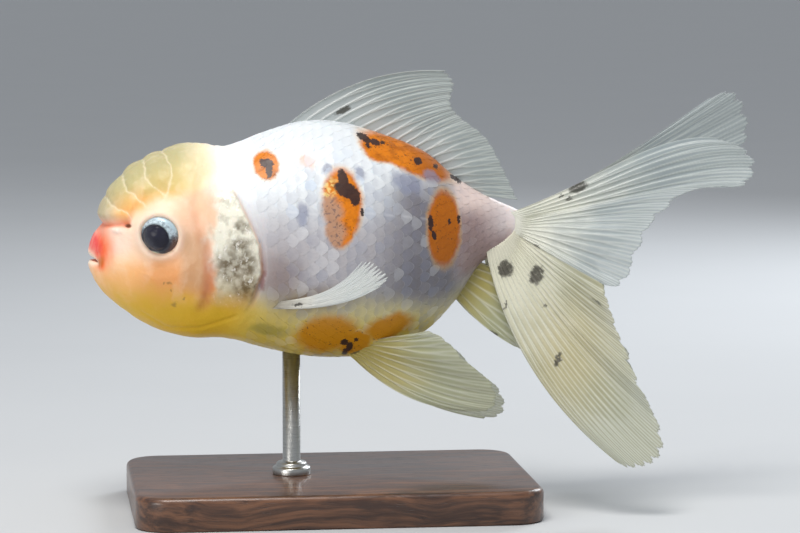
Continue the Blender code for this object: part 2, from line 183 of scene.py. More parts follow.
def spread_mesh(name, vertices, faces, finish, marks=None):
    """Smooth mesh from millimetre points. Faces are arrays with one row for each face; marks
    are values for each point that the finish reads."""
    vertices = np.asarray(vertices, float)
    corners = np.concatenate([group.ravel() for group in faces])
    sizes = np.concatenate([np.full(len(group), group.shape[1]) for group in faces])
    mesh = bpy.data.meshes.new(name)
    mesh.vertices.add(len(vertices))
    mesh.vertices.foreach_set("co", (vertices * MM).astype(np.float32).ravel())
    mesh.loops.add(len(corners))
    mesh.loops.foreach_set("vertex_index", corners.astype(np.int32))
    mesh.polygons.add(len(sizes))
    mesh.polygons.foreach_set("loop_start", (np.cumsum(sizes) - sizes).astype(np.int32))
    for key, values in (marks or {}).items():
        layer = mesh.attributes.new(key, "FLOAT", "POINT")
        layer.data.foreach_set("value", np.asarray(values, np.float32).ravel())
    mesh.update(calc_edges=True)
    mesh.validate()
    mesh.shade_smooth()
    mesh.materials.append(finish.material)
    piece = bpy.data.objects.new(name, mesh)
    bpy.context.collection.objects.link(piece)
    return piece


def outward(vertices, faces):
    """The faces of a closed mesh, turned so that they point out."""
    volume = 0
    for group in faces:
        first = vertices[group[:, 0]]
        for i in range(1, group.shape[1] - 1):
            fan = np.cross(vertices[group[:, i]], vertices[group[:, i + 1]])
            volume += np.einsum("ij,ij->", first, fan)
    return faces if volume > 0 else [group[:, ::-1] for group in faces]


floor_paint = flat_finish("floor", FLOOR_PAINT, 0.04, 0.02, 0.8)
edge = FLOOR_REACH / MM
corners = [(-edge, -edge, 0), (edge, -edge, 0), (edge, edge, 0), (-edge, edge, 0)]
floor = spread_mesh("floor", corners, [np.array([[0, 1, 2, 3]])], floor_paint)


def lamp(name, place, size, watts, colour):
    light = bpy.data.lights.new(name, "AREA")
    light.shape = "DISK"
    light.size = size * MM
    light.energy = watts
    light.color = colour
    holder = bpy.data.objects.new(name, light)
    holder.location = Vector(place) * MM
    holder.rotation_euler = (Vector(AIM) - Vector(place)).to_track_quat("-Z", "Y").to_euler()
    bpy.context.collection.objects.link(holder)


lamp("key", (-90, -190, 520), 260, 2.1, (1, 0.98, 0.95))
lamp("front", (-420, -420, 90), 300, 1.3, (1, 0.96, 0.92))
lamp("rear", (330, 380, 300), 240, 1.5, (0.92, 0.96, 1))

world = bpy.data.worlds.new("studio")
world.use_nodes = True
air = world.node_tree.nodes["Background"].inputs
air["Color"].default_value = (*AIR_COLOUR, 1)
air["Strength"].default_value = AIR_STRENGTH
bpy.context.scene.world = world
bpy.context.scene.view_settings.view_transform = "Standard"

camera = bpy.data.objects.new("camera", bpy.data.cameras.new("camera"))
camera.data.sensor_width = FILM
camera.data.lens = FILM * CAMERA_DISTANCE / VIEW_WIDTH
camera.data.clip_start = 0.01
level = math.cos(CAMERA_RISE)
back = Vector((math.sin(CAMERA_TURN) * level, -math.cos(CAMERA_TURN) * level,
               math.sin(CAMERA_RISE)))
camera.location = (Vector(AIM) + back * CAMERA_DISTANCE) * MM
camera.rotation_euler = (-back).to_track_quat("-Z", "Y").to_euler()
bpy.context.collection.objects.link(camera)
bpy.context.scene.camera = camera


# ---------------------------------------------------------------- skin
# One cast skin covers head and body: the fleshy wen in lobes over the head, rolled lips round
# an open mouth, sockets, nostrils, gill covers with their free hind edge, and the bed that the
# scales lie on. Silicone, painted while it cures.

# From inside the mouth out over the lips and back to the tail: place of the middle, how far the
# sides lie back, top, bottom, half width, height of the widest line, how far the top leans
# forward, and how square the back is.
SECTIONS = (
    (-40.9, 0, 45.5, 45.3, 0.3, 45.4, 0, 1.85),
    (-41.1, 0.2, 45.9, 45.1, 1.5, 45.4, 0, 1.85),
    (-41.6, 0.7, 46, 45.1, 2.4, 45.3, 0, 1.85),
    (-42.3, 1.1, 45.95, 45.15, 2.9, 45.1, 0, 1.85),
    (-42.85, 1.5, 46.1, 45.15, 3.3, 44.95, 0, 1.85),
    (-43.1, 1.7, 46.75, 44.6, 3.65, 44.85, 0, 1.85),
    (-43, 1.6, 47.7, 43.8, 4.1, 44.9, 0, 1.85),
    (-42.7, 1.35, 48.8, 42.8, 4.6, 45.1, 0, 1.85),
    (-42.1, 0.95, 50, 41.6, 5.2, 45.5, 0, 1.9),
    (-41.1, 0.4, 51.3, 40.1, 6.1, 46, 0, 2),
    (-39.8, 0, 53.4, 38.7, 7.1, 46.4, -0.7, 2.3),
    (-38.2, 0, 56.2, 37.3, 8.2, 46.8, -1.3, 2.45),
    (-36.5, 0, 58.6, 36, 9.1, 47, -1.2, 2.45),
    (-34.4, 0, 61.2, 34.5, 9.95, 47.1, -0.8, 2.4),
    (-30.3, 0, 63.6, 32.5, 11.4, 47.4, -0.3, 2.3),
    (-25, 0, 65.1, 31.2, 12.8, 47.2, 0, 2.2),
    (-19, 0, 65.2, 31, 13.9, 46.9, 0, 2),
    (-12, 0, 67.8, 29.1, 14.7, 46.6, 0, 1.85),
    (-5, 0, 69.7, 27.6, 15, 46.7, 0, 1.85),
    (2, 0, 69.5, 27.2, 14.8, 47.1, 0, 1.85),
    (10, 0, 67.1, 28, 13.1, 47.9, 0, 1.85),
    (17, 0, 64.2, 31.5, 10.2, 48.9, 0, 1.85),
    (22.5, 0, 59.7, 36.9, 7, 49.4, 0, 1.85),
    (27.5, 0, 56.5, 43.9, 4.2, 50.2, 0, 1.85),
    (33.4, 0, 53.8, 46.2, 2.4, 50, 0, 1.85),
    (35.6, 0, 52.6, 47.4, 1.2, 50, 0, 1.85),
    (36.6, 0, 51.2, 48.8, 0.3, 50, 0, 1.85),
)
LIP_EDGE = 4                  # rows of that table
LIP_FOLD = 7
LIP_END = 9
BELLY_POWER = 2.25
RING_POINTS = 240
MOUTH_RINGS = 7               # rings for each section of the lips
HEAD_PITCH = 0.15             # distance of the rings over the head, and over the trunk
TRUNK_PITCH = 0.36
HEAD_END = -11.5              # place along the fish
SCALE_ROOM = 0.1              # the skin lies this far in where scales cover it

WEN_LINE = ((-45, 51.6), (-40.6, 51.9), (-36.4, 52.6), (-34.6, 54.4), (-31.6, 56.4), (-25, 57.6),
            (-20, 61), (-17.4, 68))
WEN_SWELL = ((-42, 0.9), (-36, 0.95), (-26, 0.9), (-18, 0.2))
WEN_SHOULDER = ((-42, 1.5), (-36, 1.7), (-33, 3), (-26, 5))
# Shallow furrows between the lobes of the wen, the same on both sides.
WEN_FURROWS = (
    ((-41.5, 57.4), (-40.1, 56.4), (-38.5, 55.1), (-36.6, 54.4), (-35.8, 53.6), (-35.8, 52.4)),
    ((-37.4, 62.4), (-37.2, 59.8), (-36.6, 58.2), (-35.6, 57.6), (-34.2, 56.4), (-33.3, 55.3)),
    ((-33.9, 66), (-33.3, 62), (-33.3, 60.6), (-32.1, 59), (-30.7, 58), (-29.6, 57),
     (-31.4, 55.9), (-33.3, 55.3)),
    ((-31.6, 68), (-29.6, 63.8), (-28.8, 62.5), (-28.7, 61.2), (-29.3, 59.6), (-29.6, 57)),
)
BACK_FURROWS = (
    ((-24.6, 69), (-24.2, 63), (-25.4, 60.2), (-29.4, 59.4)),
    ((-20.4, 69), (-20.6, 62.4), (-22, 59.6)),
)
BACK_SHARE = 0.3              # how strong the furrows at the back are
FURROW_WIDTH = 0.24
FURROW_DEPTH = 0.07
FURROW_WANDER = 0.35          # how far they stray from their lines
LOBE_WIDTH = 1.3              # how soon a lobe rises from its furrows
LOBE_HEIGHT = 0.46
LOBE_LEVEL = 0.7              # share of that height that lies below the wen's own swelling
PARTING_DEPTH = 0.2           # along the middle
WEN_GRAIN = 0.05
UNDERCUT = 0.4                # of the wen, where it hangs over the snout

NECK_LINE = ((-20, 25), (-18.6, 32.6), (-15.4, 38.6), (-13.5, 44), (-13.9, 49), (-16.4, 54.6),
             (-18.6, 59.5), (-17.4, 65), (-17.2, 72))
CHEEK_LINE = ((-23.8, 60), (-24.8, 55.6), (-24.4, 51.7), (-23, 48.9), (-22.5, 45.4), (-22.4, 41.9),
              (-23.1, 39), (-24, 36.4))
COVER_FRONT = ((-21.6, 38), (-22.6, 44.5), (-22.9, 50), (-22.2, 54), (-21.2, 58))
EYE_CENTRE = (-30.7, 10.1, 50.6)
EYE_FORWARD = math.radians(16)
EYE_DOWN = math.radians(6)
GAZE = math.radians(9)        # the eyeball turns this much further forward and down
# Skin round the eye: distance from the eye's axis, height over its middle, share of that shape.
SOCKET = ((0, -1.6, 1), (2.4, -0.9, 1), (3, 0.6, 1), (3.45, 1.35, 1), (4, 1.5, 0.95),
          (4.8, 1.2, 0.7), (6, 0.8, 0.25), (7.4, 0.5, 0))
BROW_HEIGHT = 0.2
NOSTRIL = (-36.5, 52.1)
NOSTRIL_DEPTH = 0.9
FLAP = (-38.3, 51.2)
FLAP_HEIGHT = 0.55
THROAT_LINES = (((-33, 33.4), (-24, 33.6), (-17.6, 36)), ((-34, 36.4), (-28.6, 33)))
THROAT_DEPTH = 0.18
LIP_ROLL = 0.1
COVER_RISE = 0.42
SLIT_DEPTH = 0.4              # behind the cover's free edge
CHEEK_RISE = 0.08
CHEEK_DEPTH = 0.16
SKIN_GRAIN = 0.06


def spline(keys, steps):
    """Smooth curve through the keys; steps counts along them, so 1.5 is halfway from 1 to 2."""
    keys = np.asarray(keys, float)
    padded = np.concatenate([[2 * keys[0] - keys[1]], keys, [2 * keys[-1] - keys[-2]]])
    steps = np.clip(np.asarray(steps, float), 0, len(keys) - 1)
    cell = np.minimum(steps.astype(int), len(keys) - 2)
    t = (steps - cell)[..., None]
    before, start, end, after = (padded[cell + i] for i in range(4))
    bend = 2 * before - 5 * start + 4 * end - after
    twist = 3 * start - before - 3 * end + after
    return 0.5 * (2 * start + (end - before) * t + bend * t ** 2 + twist * t ** 3)


def ramp(value, low=0, high=1):
    """0 below low, 1 above high and a smooth step between them; low above high falls."""
    value = np.clip((value - low) / (high - low), 0, 1)
    return value * value * (3 - 2 * value)


def bell(value, width):
    """1 where a value is 0, falling off on either side."""
    return np.exp(-(value / width) ** 2)


def at_x(table, x):
    """Second value of a table of pairs, where the first is x."""
    return np.interp(x, *np.array(table).T)


def at_z(line, z):
    """First value of a table of pairs, where the second is z."""
    return np.interp(z, *np.array(line)[:, ::-1].T)


def line_distance(points, line):
    """Distance of each point from a polyline."""
    line = np.asarray(line, float)
    nearest = np.full(points.shape[:-1], np.inf)
    for start, end in zip(line[:-1], line[1:]):
        run = end - start
        share = np.clip(((points - start) @ run) / (run @ run), 0, 1)[..., None]
        gap = np.linalg.norm(points - start - share * run, axis=-1)
        nearest = np.minimum(nearest, gap)
    return nearest


def rough(points, scale, octaves=2):
    """Even noise from -1 to 1, one value for each point."""
    flat = (np.asarray(points) * scale).reshape(-1, 3)
    values = [noise.fractal(p, 1, 2, octaves) for p in flat.tolist()]
    return np.array(values).reshape(points.shape[:-1])


def ring_steps():
    """Where along the table each ring lies: close over lips and head, wider over the trunk."""
    steps = []
    for row in range(len(SECTIONS) - 1):
        start, end = SECTIONS[row][0], SECTIONS[row + 1][0]
        pitch = HEAD_PITCH if end < HEAD_END else TRUNK_PITCH
        count = MOUTH_RINGS if row < LIP_END else max(4, round((end - start) / pitch))
        steps.extend(row + i / count for i in range(count))
    return np.array(steps + [len(SECTIONS) - 1])


def body_grid(steps, turns):
    """Bare body: ring by ring, each from the back down the left flank and up the right."""
    x, lag, top, bottom, half, widest, lean, square = spline(SECTIONS, steps).T
    side = -np.sin(turns)[None, :]
    lift = np.cos(turns)[None, :]
    power = np.where(lift > 0, square[:, None], BELLY_POWER)
    reach = np.where(lift > 0, (top - widest)[:, None], (widest - bottom)[:, None])
    points = np.empty((len(steps), len(turns), 3))
    points[..., 0] = x[:, None] + lag[:, None] * side ** 2
    points[..., 0] += lean[:, None] * np.maximum(lift, 0) ** 1.5
    points[..., 1] = half[:, None] * np.sign(side) * np.abs(side) ** (2 / power)
    points[..., 2] = widest[:, None] + reach * np.sign(lift) * np.abs(lift) ** (2 / power)
    return points


def unit(vectors):
    return vectors / np.maximum(np.linalg.norm(vectors, axis=-1, keepdims=True), 1e-9)


def grid_normals(points):
    """Outward normals of rings of points that run from nose to tail."""
    around = (np.roll(points, -1, axis=1) - np.roll(points, 1, axis=1)) / 2
    return unit(np.cross(around, np.gradient(points, axis=0)))


def eye_frame(side, gaze=0):
    """Middle of the eye, and its directions out, towards the tail and up."""
    turn, dip = EYE_FORWARD + gaze, EYE_DOWN + gaze
    out = unit(np.array([-math.sin(turn), side * math.cos(turn), -math.sin(dip)]))
    aft = unit(np.cross(out, (0, 0, side)))
    return np.array(EYE_CENTRE) * (1, side, 1), out, aft, np.cross(aft, out) * side


steps = ring_steps()
turns = np.arange(RING_POINTS) * 2 * math.pi / RING_POINTS
bare = body_grid(steps, turns)
bare_normals = grid_normals(bare)
step_of = steps[:, None] * np.ones((1, RING_POINTS))
x, z = bare[..., 0], bare[..., 2]
across = np.abs(bare[..., 1])
profile = bare[..., (0, 2)]
outside = ramp(step_of, LIP_FOLD - 1, LIP_END)
side_on = ramp(across, 3, 7.5)

# Wen: the swelling, parted into lobes by shallow furrows.
over_line = z - at_x(WEN_LINE, x)
swelling = ramp(over_line / at_x(WEN_SHOULDER, x)) * outside * ramp(x, -15.5, -20.5)
wen = at_x(WEN_SWELL, x)
puffed = (bare + bare_normals * (wen * swelling)[..., None])[..., (0, 2)]
puffed += FURROW_WANDER * np.stack([rough(bare, 0.6), rough(bare + 9, 0.6)], axis=-1)
valley, behind = (np.minimum.reduce([line_distance(puffed, line) for line in lines])
                  for lines in (WEN_FURROWS, BACK_FURROWS))
furrow = np.exp(-valley / FURROW_WIDTH) + BACK_SHARE * np.exp(-behind / FURROW_WIDTH)
pillow = (1 - np.exp(-valley / LOBE_WIDTH)) * (1 - BACK_SHARE * np.exp(-behind / LOBE_WIDTH))
wen += LOBE_HEIGHT * (pillow - LOBE_LEVEL) - FURROW_DEPTH * furrow
wen -= PARTING_DEPTH * bell(across, 0.9) * ramp(z, 55, 60)
swell = wen * swelling + WEN_GRAIN * rough(bare, 0.8, 3) * swelling
swell -= UNDERCUT * (bell(over_line + 0.1, 0.4) * ramp(x, -34.8, -36.2) * outside)

# Lips: a rolled edge with a fold behind it.
swell += LIP_ROLL * bell(step_of - LIP_EDGE - 1, 0.9)
swell -= LIP_ROLL * bell(step_of - LIP_FOLD - 0.3, 0.6) * (z < 47)

# Cheek and gill cover: a furrow before the cover, and its free hind edge.
behind_edge = x - at_z(NECK_LINE, z)
edge_span = side_on * ramp(z, 36, 41) * ramp(z, 58.5, 56)
cover_lift = ramp(behind_edge, -6, -1) * ramp(behind_edge, 0.25, -0.25)
slit = bell(behind_edge - 0.55, 0.45)
swell += edge_span * (COVER_RISE * cover_lift - SLIT_DEPTH * slit)
cheek_gap = line_distance(profile, CHEEK_LINE)
cheek_span = side_on * ramp(x, -29.5, -26) * ramp(z, 35, 39)
swell += cheek_span * (CHEEK_RISE * bell(cheek_gap - 1.6, 1.2) - CHEEK_DEPTH * bell(cheek_gap, 0.9))
cover = side_on * ramp(behind_edge, 0.3, -0.2) * ramp(z, 36, 38.5)
cover *= ramp(z, 60.5, 57.5) * ramp(z, 35.5, 41)
cover *= ramp(x - at_z(COVER_FRONT, z) + 1.4 * rough(bare, 0.4, 3), -0.8, 1.6)
low_down = 3 * ramp(z, 42, 36)
head = ramp(behind_edge, 0.8 + low_down, -0.4 - low_down)
throat = sum(bell(line_distance(profile, line), 0.3) for line in THROAT_LINES)
swell -= THROAT_DEPTH * throat * side_on
swell += SKIN_GRAIN * rough(bare, 0.4, 3) * head * outside

# Nostril: a pit behind a small flap, under the edge of the wen.
front_side = ramp(across, 2, 4) * outside
nostril = bell(np.linalg.norm((profile - NOSTRIL) * (0.7, 1.25), axis=-1), 0.5) * front_side
flap = bell(np.linalg.norm((profile - FLAP) * (0.7, 1.5), axis=-1), 0.75) * front_side
swell += FLAP_HEIGHT * flap * (0.75 + 0.5 * rough(bare, 2.2)) - NOSTRIL_DEPTH * nostril
swell -= SCALE_ROOM * ramp(behind_edge, 0.6, 1.8)
skin_grid = bare + bare_normals * swell[..., None]

# Eye sockets, with a low brow over each.
socket_ring = np.zeros(x.shape)
reach, height, share = np.array(SOCKET).T
for side in (-1, 1):
    middle, out, aft, up = eye_frame(side)
    offset = skin_grid - middle
    depth = offset @ out
    radial = np.linalg.norm(offset - depth[..., None] * out, axis=-1)
    weight = np.interp(radial, reach, share) * (depth > -8)
    target = np.interp(radial, reach, height)
    target += BROW_HEIGHT * bell(radial - 4.1, 0.5) * ramp(offset @ up, -1, 3)
    skin_grid += ((target - depth) * weight)[..., None] * out
    socket_ring = np.maximum(socket_ring, weight * bell(radial - 3.8, 0.75))


def tube_faces(rings, points):
    """Quads of a closed tube, and the fans that close its two ends on the last two points."""
    i, j = np.meshgrid(np.arange(rings - 1), np.arange(points), indexing="ij")
    k = (j + 1) % points
    quads = np.stack([i * points + j, i * points + k, (i + 1) * points + k,
                      (i + 1) * points + j], axis=-1).reshape(-1, 4)
    j, k = j[0], k[0]
    last = (rings - 1) * points
    hub = np.full(points, rings * points)
    return [quads, np.stack([k, j, hub], axis=-1),
            np.stack([last + j, last + k, hub + 1], axis=-1)]


def capped(values):
    """Values of the grid with one more for each end's middle."""
    flat = values.reshape(-1, *values.shape[2:])
    return np.concatenate([flat, [values[0].mean(axis=0)], [values[-1].mean(axis=0)]])


# Colours of the coat. Each blob is its middle (x, z), its half axes and its tilt in degrees,
# downward to the tail. The two flanks differ; only the strip at the back fin is on both.
PEARL = tint(236, 240, 243)
LAVENDER_AND_SHADE = tint(186, 181, 184)
REAR_GREY_AND_SHADE = tint(126, 122, 128)
PECTORAL_SHADE_GREY = tint(128, 106, 98)
CREAM = tint(214, 202, 150)
BELLY = tint(214, 190, 84)
ORANGE = tint(226, 126, 10)
DEEP_ORANGE = tint(178, 94, 4)
AMBER = tint(242, 196, 104)
SOOT = tint(44, 34, 36)
SLATE = tint(132, 136, 160)
ROSE = tint(240, 214, 204)
ROSE_GREY_AND_SHADE = tint(158, 130, 126)
STALK_WHITE = tint(238, 228, 226)
MAROON = tint(120, 72, 70)
MUSTARD = tint(212, 182, 74)
BUFF = tint(184, 146, 122)
PALE_GOLD = tint(252, 222, 140)
ASH = tint(96, 84, 88)
BELLY_ORANGE = tint(198, 128, 2)
PINK = tint(236, 196, 176)
UNDER_FIN_OLIVE_SHADOW = tint(140, 132, 62)
BLOB_DEPTH = 1e6              # a blob runs right through from side to side

ORANGE_LEFT = ((-12.1, 62.4, 2.3, 2.6), (0.9, 56, 3.7, 6.2), (0.3, 51.4, 2.6, 3.4),
               (19.5, 50.9, 3.3, 7))
BELLY_LEFT = ((-1.6, 32.4, 5.4, 3.6, -8), (9.4, 33.6, 4.6, 2.2, -16), (3.6, 30.6, 3, 2.4))
BELLY_RIGHT = ((2.5, 31.6, 5, 2.8), (-8, 31.4, 3, 2))
BEIGE_LEFT = ((-2, 54.4, 3.1, 3.4), (-1, 50.4, 2.7, 3.4))
GOLD_LEFT = ((-1.6, 58.6, 1.9, 1.9),)
ORANGE_BOTH = ((13.4, 63.5, 9.6, 2.5, 26), (8.2, 65, 3.8, 2.3, 26))
ORANGE_RIGHT = ((-9.5, 58, 4.6, 5.2, 10), (-4.6, 52, 2.6, 3.2), (9.5, 50.6, 3.4, 5.6, -14),
                (24.5, 53.4, 3, 2.4, 10), (-14.6, 36.4, 2.2, 2.6))
BLACK_LEFT = ((22.4, 52.3, 0.3, 0.8), (-12, 62.8, 1.25, 0.75, 10), (-11.7, 61.6, 0.6, 1.3),
              (1.2, 60.1, 0.85, 1.7, -14), (1.7, 58.2, 2.2, 1.25, 24), (3.2, 57, 0.9, 1.5),
              (17, 52, 0.5, 1.4), (17.6, 49.8, 0.4, 0.9, -20), (20.6, 52, 0.25, 0.6),
              (4.4, 54.4, 0.3, 0.7), (1.6, 31, 0.8, 0.6), (2.6, 30, 0.6, 1), (3.7, 31.3, 0.4, 0.35),
              (2, 28.9, 0.5, 0.8), (-23.2, 34, 0.32, 0.32))
BLACK_BOTH = ((5.7, 66.9, 1.5, 0.6, 30), (7.6, 66.1, 1, 0.5, 20), (6.2, 65.7, 0.4, 0.5),
              (9, 65.9, 0.4, 0.3), (15.3, 62.7, 0.8, 0.6, 20), (18.7, 61.6, 0.5, 0.42),
              (22.6, 59.2, 1.3, 0.45, 30))
BLACK_RIGHT = ((-10.6, 59.6, 1.8, 1.4), (-8.4, 57.6, 1.1, 1.9, 10), (9.8, 52.4, 0.7, 1.8, -14),
               (-17.4, 49, 1.5, 1.2), (14.6, 45.2, 0.8, 0.7), (-1.4, 46.6, 0.6, 0.9),
               (25.6, 52.4, 0.7, 0.5))
BLUE_LEFT = ((-6.1, 54, 1, 2), (4.4, 61, 0.9, 0.9), (-1.4, 61.8, 1.1, 0.9),
             (17.6, 59.9, 1.7, 1, 26), (13, 59.2, 3, 1.6, 26))
BLUE_RIGHT = ((1.6, 58.4, 1.6, 1.2), (-15.4, 56, 1.2, 1.4), (16.4, 56.6, 1.5, 1, 20))
PINK_LEFT = ((-5, 63.2, 1.5, 1.4),)
MAROON_LEFT = ((-13.5, 43.6, 0.7, 2.6),)
SHADED_LEFT = ((-9.8, 42.4, 4.4, 5.6, -20), (-5, 39, 8, 2.6))
UNDER_FIN_SHADOW_BLOBS = ((-12.2, 33.4, 3.2, 1.1, 6),)


def blobs(place, table, outer, inner):
    """1 on the blobs of a table and 0 off them, with a soft edge between outer and inner, which
    are shares of a blob's half axes."""
    nearest = None
    for mid_x, mid_z, half_x, half_z, *tilt in table:
        turn = math.radians(tilt[0]) if tilt else 0
        local = place.finish.node("Mapping", {
            "Vector": place, "Location": (mid_x, 0, mid_z), "Rotation": (0, turn, 0),
            "Scale": (half_x, BLOB_DEPTH, half_z)}, vector_type="TEXTURE")
        far = place.finish.node("VectorMath", {0: local}, "Value", operation="LENGTH")
        nearest = nearest.least(far) if nearest else far
    return nearest.rise(outer, inner)


def ragged(place, scale, reach):
    """The place, pushed about by noise, for edges that aren't smooth."""
    push = place.grain(scale, output="Color").vector("SUBTRACT", 1, (0.5, 0.5, 0.5))
    return place.vector("ADD", 1, push.vector("SCALE", "Scale", 2 * reach))


def calico(place):
    """The coat's colour, the same on flesh and scales, and how far a place is in a patch."""
    finish = place.finish
    across = place.axis("Y")
    along = place.axis("X")
    height = place.axis("Z") + (place.grain(0.12, 3) - 0.5) * 5
    left = across.rise(0.8, -0.8)
    right = across.rise(-0.8, 0.8)
    wide = ragged(place, 0.42, 1)
    fine = ragged(wide, 1.9, 0.32)
    edge = ragged(ragged(place, 0.42, 0.5), 1.9, 0.24)
    frayed = ragged(place, 2.4, 0.42)

    def flanks(place, on_left, on_right, outer, inner):
        return (blobs(place, on_left, outer, inner) * left).most(
            blobs(place, on_right, outer, inner) * right)

    patch = (blobs(edge, ORANGE_LEFT, 1.17, 0.8) * left).most(
        blobs(fine, ORANGE_RIGHT, 1.22, 0.78) * right)
    patch = patch.most(blobs(edge, ORANGE_BOTH, 1.2, 0.75))
    beige = blobs(fine, BEIGE_LEFT, 1.2, 0.6) * left
    gold = blobs(fine, GOLD_LEFT, 1.3, 0.5) * left
    deeper = place.grain(0.5, 3).rise(0.42, 0.66).most(along.rise(12, 17))
    flame = finish.coats(
        ORANGE, (DEEP_ORANGE, deeper * 0.8),
        (AMBER, patch.rise(0.9, 0.2) * 0.7),
        (BUFF, beige * 0.85),
        (PALE_GOLD, gold * place.grain(1.4, 3).rise(0.4, 0.6) * 0.8),
        (ASH, beige * place.grain(1.7, 3).rise(0.55, 0.65) * 0.6))
    belly = flanks(wide, BELLY_LEFT, BELLY_RIGHT, 1.35, 0.7)
    rear = along.rise(3, 15) * height.rise(63, 56) * height.rise(35, 41)
    # The stalk is rose on top and rose grey below: partly its own tint, partly painted shade.
    rose = finish.coats(ROSE_GREY_AND_SHADE, (ROSE, height.rise(51, 56.5)),
                        (STALK_WHITE, along.rise(25, 34) * height.rise(47, 51) * 0.8))
    ground = finish.coats(
        BELLY, (CREAM, height.rise(32, 37.5)),
        (MUSTARD, along.rise(-5, -15) * height.rise(41, 35) * 0.8),
        # Whiter on top and grey lavender lower down: partly the nacre's own tint, partly painted
        # shade of light falling from above.
        (LAVENDER_AND_SHADE, height.rise(36.5, 42.5)),
        (PEARL, height.rise(49, 59.5) * (1 - along.rise(8, 20) * 0.35)),
        # Dark grey band along the rear flank: partly its own grey tint, partly painted shade.
        (REAR_GREY_AND_SHADE, rear * along.rise(25, 20)),
        (rose, along.rise(20, 23.5) * height.rise(40, 44) * 0.9),
        (BELLY_ORANGE, belly * 0.94), (flame, patch),
        (PINK, blobs(wide, PINK_LEFT, 1.3, 0.5) * left * 0.85),
        (SLATE, flanks(fine, BLUE_LEFT, BLUE_RIGHT, 1.4, 0.6) * 0.7),
        # Painted shade: mauve grey on the left flank under the pectoral fin.
        (PECTORAL_SHADE_GREY, blobs(wide, SHADED_LEFT, 1.5, 0.2) * left * 0.7),
        (MAROON, blobs(fine, MAROON_LEFT, 1.3, 0.6) * left * 0.75),
        # Painted shadow: a dark olive strip on the left flank just below the pectoral fin's root.
        (UNDER_FIN_OLIVE_SHADOW, blobs(fine, UNDER_FIN_SHADOW_BLOBS, 1.5, 0.5) * left * 0.6))

    patch = patch.most(belly)
    pepper = place.grain(2.6).rise(0.6, 0.68) * place.grain(0.4).rise(0.46, 0.6)
    dark = flanks(frayed, BLACK_LEFT, BLACK_RIGHT, 1.14, 0.9)
    dark = dark.most(blobs(frayed, BLACK_BOTH, 1.14, 0.9)).most(pepper * patch * 0.8)
    return finish.mix(ground, SOOT, dark * 0.95), patch.most(dark)


WEN_YELLOW = tint(222, 190, 108)
WEN_AMBER = tint(246, 178, 92)
WEN_CREAM = tint(244, 218, 150)
WEN_RIM = tint(176, 172, 132)
WEN_PINK = tint(204, 174, 150)
FURROW_CREAM = tint(250, 236, 206)
CORAL = tint(232, 72, 72)
VERMILION = tint(244, 112, 52)
PEACH = tint(248, 188, 124)
PEACH_DEEP = tint(226, 158, 98)
TEMPLE = tint(242, 196, 162)
THROAT = tint(216, 174, 46)
CHEEK_PINK = tint(250, 214, 184)
BEIGE = tint(196, 154, 116)
NECK_WHITE = tint(248, 244, 240)
GILL_RED = tint(192, 110, 78)
GILL_BROWN = tint(170, 100, 62)
SILVER = tint(232, 231, 216)
OLIVE = tint(84, 78, 58)
SLIT_SHADE_MAUVE = tint(146, 112, 112)
MOUTH_PINK = tint(222, 168, 146)
SNOUT_PINK = tint(246, 214, 196)
DULL_SILVER = tint(196, 194, 178)
BRASS = tint(176, 156, 96)
UMBER = tint(84, 70, 38)
SNOW = tint(250, 250, 246)
WEN_IVORY = tint(246, 232, 198)
RUST = tint(206, 104, 20)
FOLD_RED = tint(238, 116, 66)
SOCKET_PINK = tint(246, 226, 214)
LIP_CREAM = tint(240, 230, 212)
FLAP_PINK = tint(252, 234, 224)
NOSTRIL_BROWN = tint(120, 58, 24)
SPECK_BROWN = tint(120, 92, 50)
PALE_PEACH = tint(250, 230, 206)
CORAL_BLOBS = ((-42.7, 49, 1.7, 3.2, -16),)
VERMILION_BLOBS = ((-41.2, 47.8, 1.9, 3.2), (-41.2, 45, 0.9, 1.2))
SLIT_BLOBS = ((-41.2, 45.3, 0.5, 0.9, 25),)
OLIVE_BLOBS = ((-16.2, 41.4, 2.6, 2.4), (-16.7, 52.2, 1.3, 1, 30), (-17.2, 48.8, 1.7, 1.5),
               (-18.6, 45.2, 2.9, 2.9), (-16.2, 45.6, 1.9, 3))
SPECK_BLOBS = ((-29.6, 42, 0.32, 0.28), (-30.4, 42.2, 0.2, 0.2), (-28.4, 38.2, 0.5, 0.3),
               (-29, 40.8, 0.16, 0.16), (-26.8, 39.4, 0.16, 0.16))


def bell_mark(value, width):
    """1 where a value is 0, falling to 0 at the width on either side."""
    return (value * value).rise(width * width, 0)


